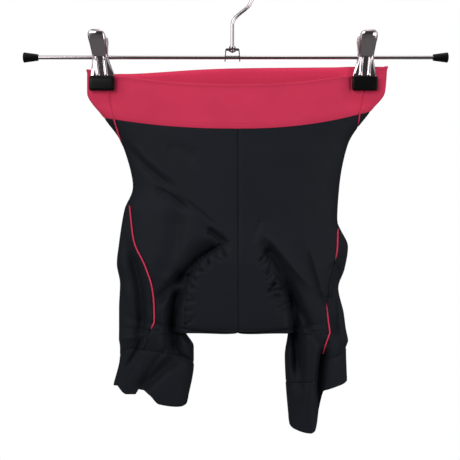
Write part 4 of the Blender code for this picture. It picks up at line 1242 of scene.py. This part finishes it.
def make_hanger():
    chrome, rubber = finish_named("bright_chrome"), finish_named("grey_rubber")
    axis = (0, 0, -BAR_BELOW_CROWN)
    low, high = BAR_ENDS
    profile = [(0, high), (BAR_RADIUS - 0.3, high), (BAR_RADIUS, high - 0.3), (BAR_RADIUS, low + 0.3),
               (BAR_RADIUS - 0.3, low), (0, low)]
    show(turned("bar_rod", profile, chrome, axis, "X", 48), "chrome", "hanger_bar")
    for side, tip, bar_end in (("left", CAP_TIPS[0], low), ("right", CAP_TIPS[1], high)):
        direction = 1 if tip > 0 else -1
        mouth = tip - direction * CAP_LENGTH
        profile = [(0, tip), (3.6, tip), (4.3, tip - direction * 0.25), (4.7, tip - direction * 0.7),
                   (4.8, tip - direction * 1.3), (4.55, tip - direction * 2.6), (4.25, tip - direction * 5.0),
                   (3.1, mouth + direction * 0.5), (2.9, mouth), (BAR_RADIUS + GAP, mouth),
                   (BAR_RADIUS + GAP, bar_end + direction * GAP), (0, bar_end + direction * GAP)]
        show(turned(f"cap_{side}_moulded", profile, rubber, axis, "X", 48), "black_rubber", f"cap_{side}")


def make_hook():
    chrome = finish_named("bright_chrome")
    centre_z = HOOK_WIRE_RADIUS - HOOK_RADIUS
    route = [(0, 0, -BAR_BELOW_CROWN + HOOK_FOOT_RISE)]
    route += [(x, 0, -BAR_BELOW_CROWN + rise) for x, rise in HOOK_BEND]
    for angle in np.arange(HOOK_START_ANGLE, HOOK_END_ANGLE, HOOK_ANGLE_STEP):
        turn = math.radians(angle)
        route.append((HOOK_RADIUS * math.cos(turn), 0, centre_z + HOOK_RADIUS * math.sin(turn)))
    route = np.array(route, float)
    lengths = run_lengths(route)
    at = np.linspace(0, lengths[-1], HOOK_POINTS)
    route = np.stack([smooth_table(lengths, route[:, i], at) for i in range(3)], axis=-1)
    route = smoothed(route, HOOK_SMOOTHING)
    show(tube("hook_wire", route, HOOK_WIRE_RADIUS, chrome, 24), "chrome", "hanger_hook")
    top = YOKE_TOP
    bottom = top - YOKE_THICKNESS
    bore = HOOK_WIRE_RADIUS + 0.05
    profile = [(bore, top + 2.8), (2.3, top + 2.8), (2.8, top + 2.6), (3.1, top + 2.1), (3.2, top + 1.5),
               (3.1, top + 0.8), (2.8, top + GAP), (2.4, top + GAP), (2.4, bottom - GAP), (2.9, bottom - GAP),
               (3.2, bottom - 0.7), (3.2, bottom - 1.2), (2.9, bottom - 1.6), (2.5, bottom - 1.7),
               (bore, bottom - 1.7)]
    rivet = turned("hook_rivet_head", profile, chrome, (0, 0, -BAR_BELOW_CROWN), "Z", 40)
    show(rivet, "chrome", "hook_rivet")
    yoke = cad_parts["hook_yoke"]
    yoke.data.materials.clear()
    yoke.data.materials.append(chrome)


def make_leaf(side, place, centre, lean, face):
    """One pressed leaf of a spring clip: a crowned thumb end, turned-back edges and two raised ribs."""
    table = np.array(LEAF_ROWS)[::-1]
    heights = np.concatenate([np.linspace(24.0, 21.0, 10), np.linspace(20.5, -18.0, 78)])
    across = np.linspace(-1, 1, 49)
    middle = []
    for height in heights:
        half_width, away, crown, flange = (
            float(smooth_table(table[:, 0], table[:, i], height)) for i in range(1, 5)
        )
        ends = smoothstep((RIB_TOP - height) / 1.6) * smoothstep((height - RIB_BOTTOM) / 0.8)
        off_rib = np.abs(np.abs(across * half_width) - RIB_PLACE) / RIB_HALF_WIDTH
        rib = RIB_HEIGHT * ends * np.exp(-(off_rib**4))
        turned_back = flange * smoothstep((np.abs(across) - 0.8) / 0.2)
        rise = away + crown * (1 - across**2) + rib - turned_back
        x = centre + lean * (height + CLIP_LEAN_HEIGHT) + across * half_width
        middle.append(np.stack([x, face * rise, np.full_like(x, height - BAR_BELOW_CROWN)], axis=-1))
    middle = np.array(middle)
    outward = np.tile(np.array([0.0, face, 0.0]), (*middle.shape[:2], 1))
    outward = true_normals(middle, outward)
    finish = finish_named("bright_chrome")
    made = shell(f"clip_{place}_{side}_leaf", middle, outward, LEAF_WALL, (0.3,) * 4, (0,) * 4, finish)
    show(made, "chrome", f"clip_{place}_{side}")


def make_foot(side, place, centre, face):
    """A moulded rubber sleeve with soft corners, a lip at its top and a slightly hollow front."""
    width, depth, height = FOOT_SIZE
    away = EDGE_TURN + BAND_HALF_WALL + GAP + depth / 2
    turn = np.linspace(0, 2 * math.pi, FOOT_STEPS, endpoint=False)
    ring_x, ring_y = (np.sign(wave) * np.abs(wave) ** FOOT_POWER for wave in (np.cos(turn), np.sin(turn)))
    rings = []
    for share, wide, deep in FOOT_LEVELS:
        rings.append(np.stack([ring_x * width / 2 * wide, ring_y * depth / 2 * deep,
                               np.full(FOOT_STEPS, (share - 0.5) * height)], axis=-1))
    points = np.concatenate(rings + [np.array([[0, 0, -height / 2], [0, 0, height / 2]])])
    index, quads = ring_quads(len(FOOT_LEVELS), FOOT_STEPS)
    faces = quads.tolist()
    after = np.roll(index, -1, axis=1)
    low, high = len(points) - 2, len(points) - 1
    faces += [[int(b), int(a), low] for a, b in zip(index[0], after[0])]
    faces += [[int(a), int(b), high] for a, b in zip(index[-1], after[-1])]
    points = points + np.array([centre, face * away, -BAR_BELOW_CROWN - FOOT_DROP])
    name = f"foot_{place}_{side}_rubber"
    mesh = bpy.data.meshes.new(name)
    mesh.from_pydata((points * MM).tolist(), [], faces)
    show(add_object(name, mesh, finish_named("grey_rubber")), "black_rubber", f"foot_{place}_{side}")


def make_spring(side, centre, lean):
    """A wound spring round the bar that holds the clip's jaws shut."""
    middle = centre + lean * CLIP_LEAN_HEIGHT
    turns, wire, radius, length = 7, 0.6, 2.75, 10.0
    angle = np.linspace(0, 2 * math.pi * turns, turns * 22)
    line = np.stack([middle - length / 2 + length * angle / angle[-1], radius * np.cos(angle),
                     -BAR_BELOW_CROWN + radius * np.sin(angle)], axis=-1)
    made = tube(f"clip_spring_{side}", line, wire, finish_named("bright_chrome"), 10)
    show(made, "chrome", f"clip_pivot_{side}")


def length_property(name, description, default):
    return FloatProperty(name=name, description=description, default=default, subtype="DISTANCE",
                         unit="LENGTH")


def power_property(name, description, default):
    return FloatProperty(name=name, description=description, default=default, unit="POWER")


def colour_property(name, description, default):
    return FloatVectorProperty(name=name, description=description, default=default, size=3, min=0.0, max=1.0,
                               subtype="COLOR")


class ShortsSizes(bpy.types.PropertyGroup):
    panel_wall: length_property("Panel wall", "Thickness of the jersey panels", 0.0014)
    band_wall: length_property("Band wall", "Thickness of the waistband and the leg bands", 0.0017)
    pad_wall: length_property("Pad wall", "Thickness of the foam pad", 0.0036)
    piping_radius: length_property("Piping radius", "Radius of the cord on the front seams", 0.0007)
    cloth_step: length_property("Cloth step", "Distance between points of the cloth", 0.0013)
    stitch_pitch: length_property("Stitch pitch", "Distance from stitch to stitch", 0.003)
    stitch_length: length_property("Stitch length", "Length of one stitch", 0.0022)
    thread_radius: length_property("Thread radius", "Radius of the sewing thread", 0.00022)


class ShortsColours(bpy.types.PropertyGroup):
    black: colour_property("Jersey", "Colour of the panels and leg bands", (0.0080, 0.0097, 0.0136))
    raspberry: colour_property("Waistband", "Colour of the waistband and the piping", (0.57, 0.033, 0.085))
    pad: colour_property("Pad", "Colour of the foam pad", (0.05, 0.05, 0.055))
    black_thread: colour_property("Dark thread", "Colour of the seams' thread", (0.011, 0.013, 0.017))
    raspberry_thread: colour_property("Bright thread", "Colour of the waistband's stitches",
                                      (0.5, 0.032, 0.075))
    chrome: colour_property("Chrome", "Colour of the hanger's plated steel", (0.54, 0.475, 0.49))
    rubber: colour_property("Rubber", "Colour of the caps and feet", (0.0014, 0.0014, 0.0013))


class ShortsStage(bpy.types.PropertyGroup):
    view_distance: length_property("Camera distance", "From the camera to the bar's plane", 1.0)
    view_angle: FloatProperty(name="View angle", description="Angle of view across the picture",
                              default=2 * math.atan(0.21657), subtype="ANGLE", unit="ROTATION")
    key_power: power_property("Key light", "Power of the large soft light", 12.8)
    fill_power: power_property("Fill light", "Power of the second soft light", 6.6)
    floor_drop: length_property("Floor drop", "Height of the floor below the hook's crown", 0.62)
    floor_sides: IntProperty(name="Floor sides", description="Number of sides of the round floor", default=64)


def add_light(name, place, size, power):
    data = bpy.data.lights.new(name, "AREA")
    data.shape = "SQUARE"
    data.size = size
    data.energy = power
    light = bpy.data.objects.new(name, data)
    light.location = place
    light.rotation_euler = (Vector(LIGHT_TARGET) - Vector(place)).to_track_quat("-Z", "Y").to_euler()
    bpy.context.scene.collection.objects.link(light)


def make_studio_world():
    """White behind the object, and a room with a dark and a light part for the metal to reflect."""
    world = bpy.data.worlds.new("studio")
    bpy.context.scene.world = world
    world.use_nodes = True
    world.node_tree.nodes.clear()
    graph = Graph(world.node_tree)
    output, mix = graph.new("ShaderNodeOutputWorld"), graph.new("ShaderNodeMixShader")
    seen, room = graph.new("ShaderNodeBackground"), graph.new("ShaderNodeBackground")
    seen.inputs["Color"].default_value = (1.0, 1.0, 1.0, 1.0)
    seen.inputs["Strength"].default_value = 1.0
    room.inputs["Color"].default_value = (0.98, 0.99, 1.0, 1.0)
    across, along, height = graph.parts(graph.new("ShaderNodeTexCoord").outputs["Generated"])
    walls = graph.math("MULTIPLY", graph.ramp(graph.math("ABSOLUTE", across), 0.35, 0.95),
                       graph.ramp(height, -0.5, -0.2))
    walls = graph.math("MULTIPLY", walls, graph.ramp(along, 0.35, 0.0))
    canopy = graph.math("MULTIPLY", graph.ramp(height, 0.5, 0.62), graph.ramp(height, 0.95, 0.85))
    glow = ROOM_GLOW["everywhere"]
    for part, name in ((canopy, "canopy"), (walls, "walls"), (graph.ramp(height, -0.1, -0.7), "ground")):
        glow = graph.math("ADD", graph.math("MULTIPLY", part, ROOM_GLOW[name]), glow)
    graph.link(glow, room.inputs["Strength"])
    graph.link(graph.new("ShaderNodeLightPath").outputs["Is Camera Ray"], mix.inputs["Fac"])
    graph.link(room.outputs[0], mix.inputs[1])
    graph.link(seen.outputs[0], mix.inputs[2])
    graph.link(mix.outputs[0], output.inputs["Surface"])


def make_stage():
    stage = bpy.context.scene.shorts_stage
    bpy.context.scene.view_settings.view_transform = "Standard"
    make_studio_world()
    turn = np.linspace(0, 2 * math.pi, stage.floor_sides, endpoint=False)
    level = np.full_like(turn, -stage.floor_drop)
    rim = np.stack([FLOOR_RADIUS * np.cos(turn), FLOOR_RADIUS * np.sin(turn), level], axis=-1)
    mesh = bpy.data.meshes.new("floor")
    mesh.from_pydata(rim.tolist(), [], [list(range(len(rim)))])
    paint, _, shader = new_material("pale_floor")
    set_shader(shader, Base_Color=(0.64, 0.635, 0.63, 1.0), Roughness=0.8)
    mesh.materials.append(paint)
    floor = bpy.data.objects.new("floor", mesh)
    bpy.context.scene.collection.objects.link(floor)
    floor.visible_glossy = False
    for name, place, size, power, share in LIGHTS:
        add_light(name, place, size, getattr(stage, power) * share)
    data = bpy.data.cameras.new("camera")
    data.sensor_width = 36.0
    data.lens = data.sensor_width / 2 / math.tan(stage.view_angle / 2)
    camera = bpy.data.objects.new("camera", data)
    camera.location = (CAMERA_X, -stage.view_distance, CAMERA_Z)
    camera.rotation_euler = (math.pi / 2, 0, 0)
    bpy.context.scene.collection.objects.link(camera)
    bpy.context.scene.camera = camera


def make_clips():
    for side, centre, lean in CLIPS:
        for place, face in (("front", -1), ("back", 1)):
            make_leaf(side, place, centre, lean, face)
            make_foot(side, place, centre, face)
        make_spring(side, centre, lean)


class PieceOperator:
    """Runs its makers, once or once for each side."""

    sides = ((),)

    def execute(self, context):
        for side in self.sides:
            for make in self.makers:
                make(*side)
        return {"FINISHED"}


class WaistbandOperator(PieceOperator, bpy.types.Operator):
    """Makes the front and back of the waistband"""

    bl_idname = "shorts.waistband"
    bl_label = "Waistband"
    makers = (make_waistband,)


class PanelsOperator(PieceOperator, bpy.types.Operator):
    """Makes the front, side and back panels"""

    bl_idname = "shorts.panels"
    bl_label = "Jersey panels"
    makers = (make_panels,)
    sides = BOTH_SIDES


class LegBandsOperator(PieceOperator, bpy.types.Operator):
    """Makes the bands at the leg openings"""

    bl_idname = "shorts.leg_bands"
    bl_label = "Leg bands"
    makers = (make_leg_band,)
    sides = BOTH_SIDES


class PipingOperator(PieceOperator, bpy.types.Operator):
    """Makes the cords on the front seams"""

    bl_idname = "shorts.piping"
    bl_label = "Piping"
    makers = (make_piping,)
    sides = BOTH_SIDES


class PadOperator(PieceOperator, bpy.types.Operator):
    """Makes the foam pad inside the crotch"""

    bl_idname = "shorts.pad"
    bl_label = "Seat pad"
    makers = (make_pad,)


class StitchesOperator(PieceOperator, bpy.types.Operator):
    """Sews the stitches on the seams; the cloth has to be there first"""

    bl_idname = "shorts.stitches"
    bl_label = "Stitches"
    makers = (make_stitches,)


class HangerOperator(PieceOperator, bpy.types.Operator):
    """Makes the bar, its caps and the hook"""

    bl_idname = "shorts.hanger"
    bl_label = "Hanger"
    makers = (make_hanger, make_hook)


class ClipsOperator(PieceOperator, bpy.types.Operator):
    """Makes both spring clips"""

    bl_idname = "shorts.clips"
    bl_label = "Clips"
    makers = (make_clips,)


class StageOperator(PieceOperator, bpy.types.Operator):
    """Sets up the floor, the lights and the camera"""

    bl_idname = "shorts.stage"
    bl_label = "Stage"
    makers = (make_stage,)


class ShortsPanel(bpy.types.Panel):
    """Lists the pieces and their sizes and colours"""

    bl_idname = "VIEW3D_PT_shorts"
    bl_label = "Shorts on a clip hanger"
    bl_space_type = "VIEW_3D"
    bl_region_type = "UI"
    bl_category = "Shorts"

    def draw(self, context):
        for operator in OPERATORS:
            self.layout.operator(operator.bl_idname)
        for group in (context.scene.shorts_sizes, context.scene.shorts_colours, context.scene.shorts_stage):
            for name in group.__annotations__:
                self.layout.prop(group, name)


OPERATORS = (
    WaistbandOperator, PanelsOperator, LegBandsOperator, PipingOperator, PadOperator, StitchesOperator,
    HangerOperator, ClipsOperator, StageOperator,
)
GROUPS = {"shorts_sizes": ShortsSizes, "shorts_colours": ShortsColours, "shorts_stage": ShortsStage}


def register():
    for made in (*GROUPS.values(), *OPERATORS, ShortsPanel):
        bpy.utils.register_class(made)
    for name, group in GROUPS.items():
        setattr(bpy.types.Scene, name, PointerProperty(type=group))


def unregister():
    for name in GROUPS:
        delattr(bpy.types.Scene, name)
    for made in (ShortsPanel, *reversed(OPERATORS), *GROUPS.values()):
        bpy.utils.unregister_class(made)


def main():
    register()
    bpy.ops.shorts.waistband()
    bpy.ops.shorts.panels()
    bpy.ops.shorts.leg_bands()
    bpy.ops.shorts.piping()
    bpy.ops.shorts.pad()
    bpy.ops.shorts.stitches()
    bpy.ops.shorts.hanger()
    bpy.ops.shorts.clips()
    bpy.ops.shorts.stage()


if __name__ == "__main__":
    main()
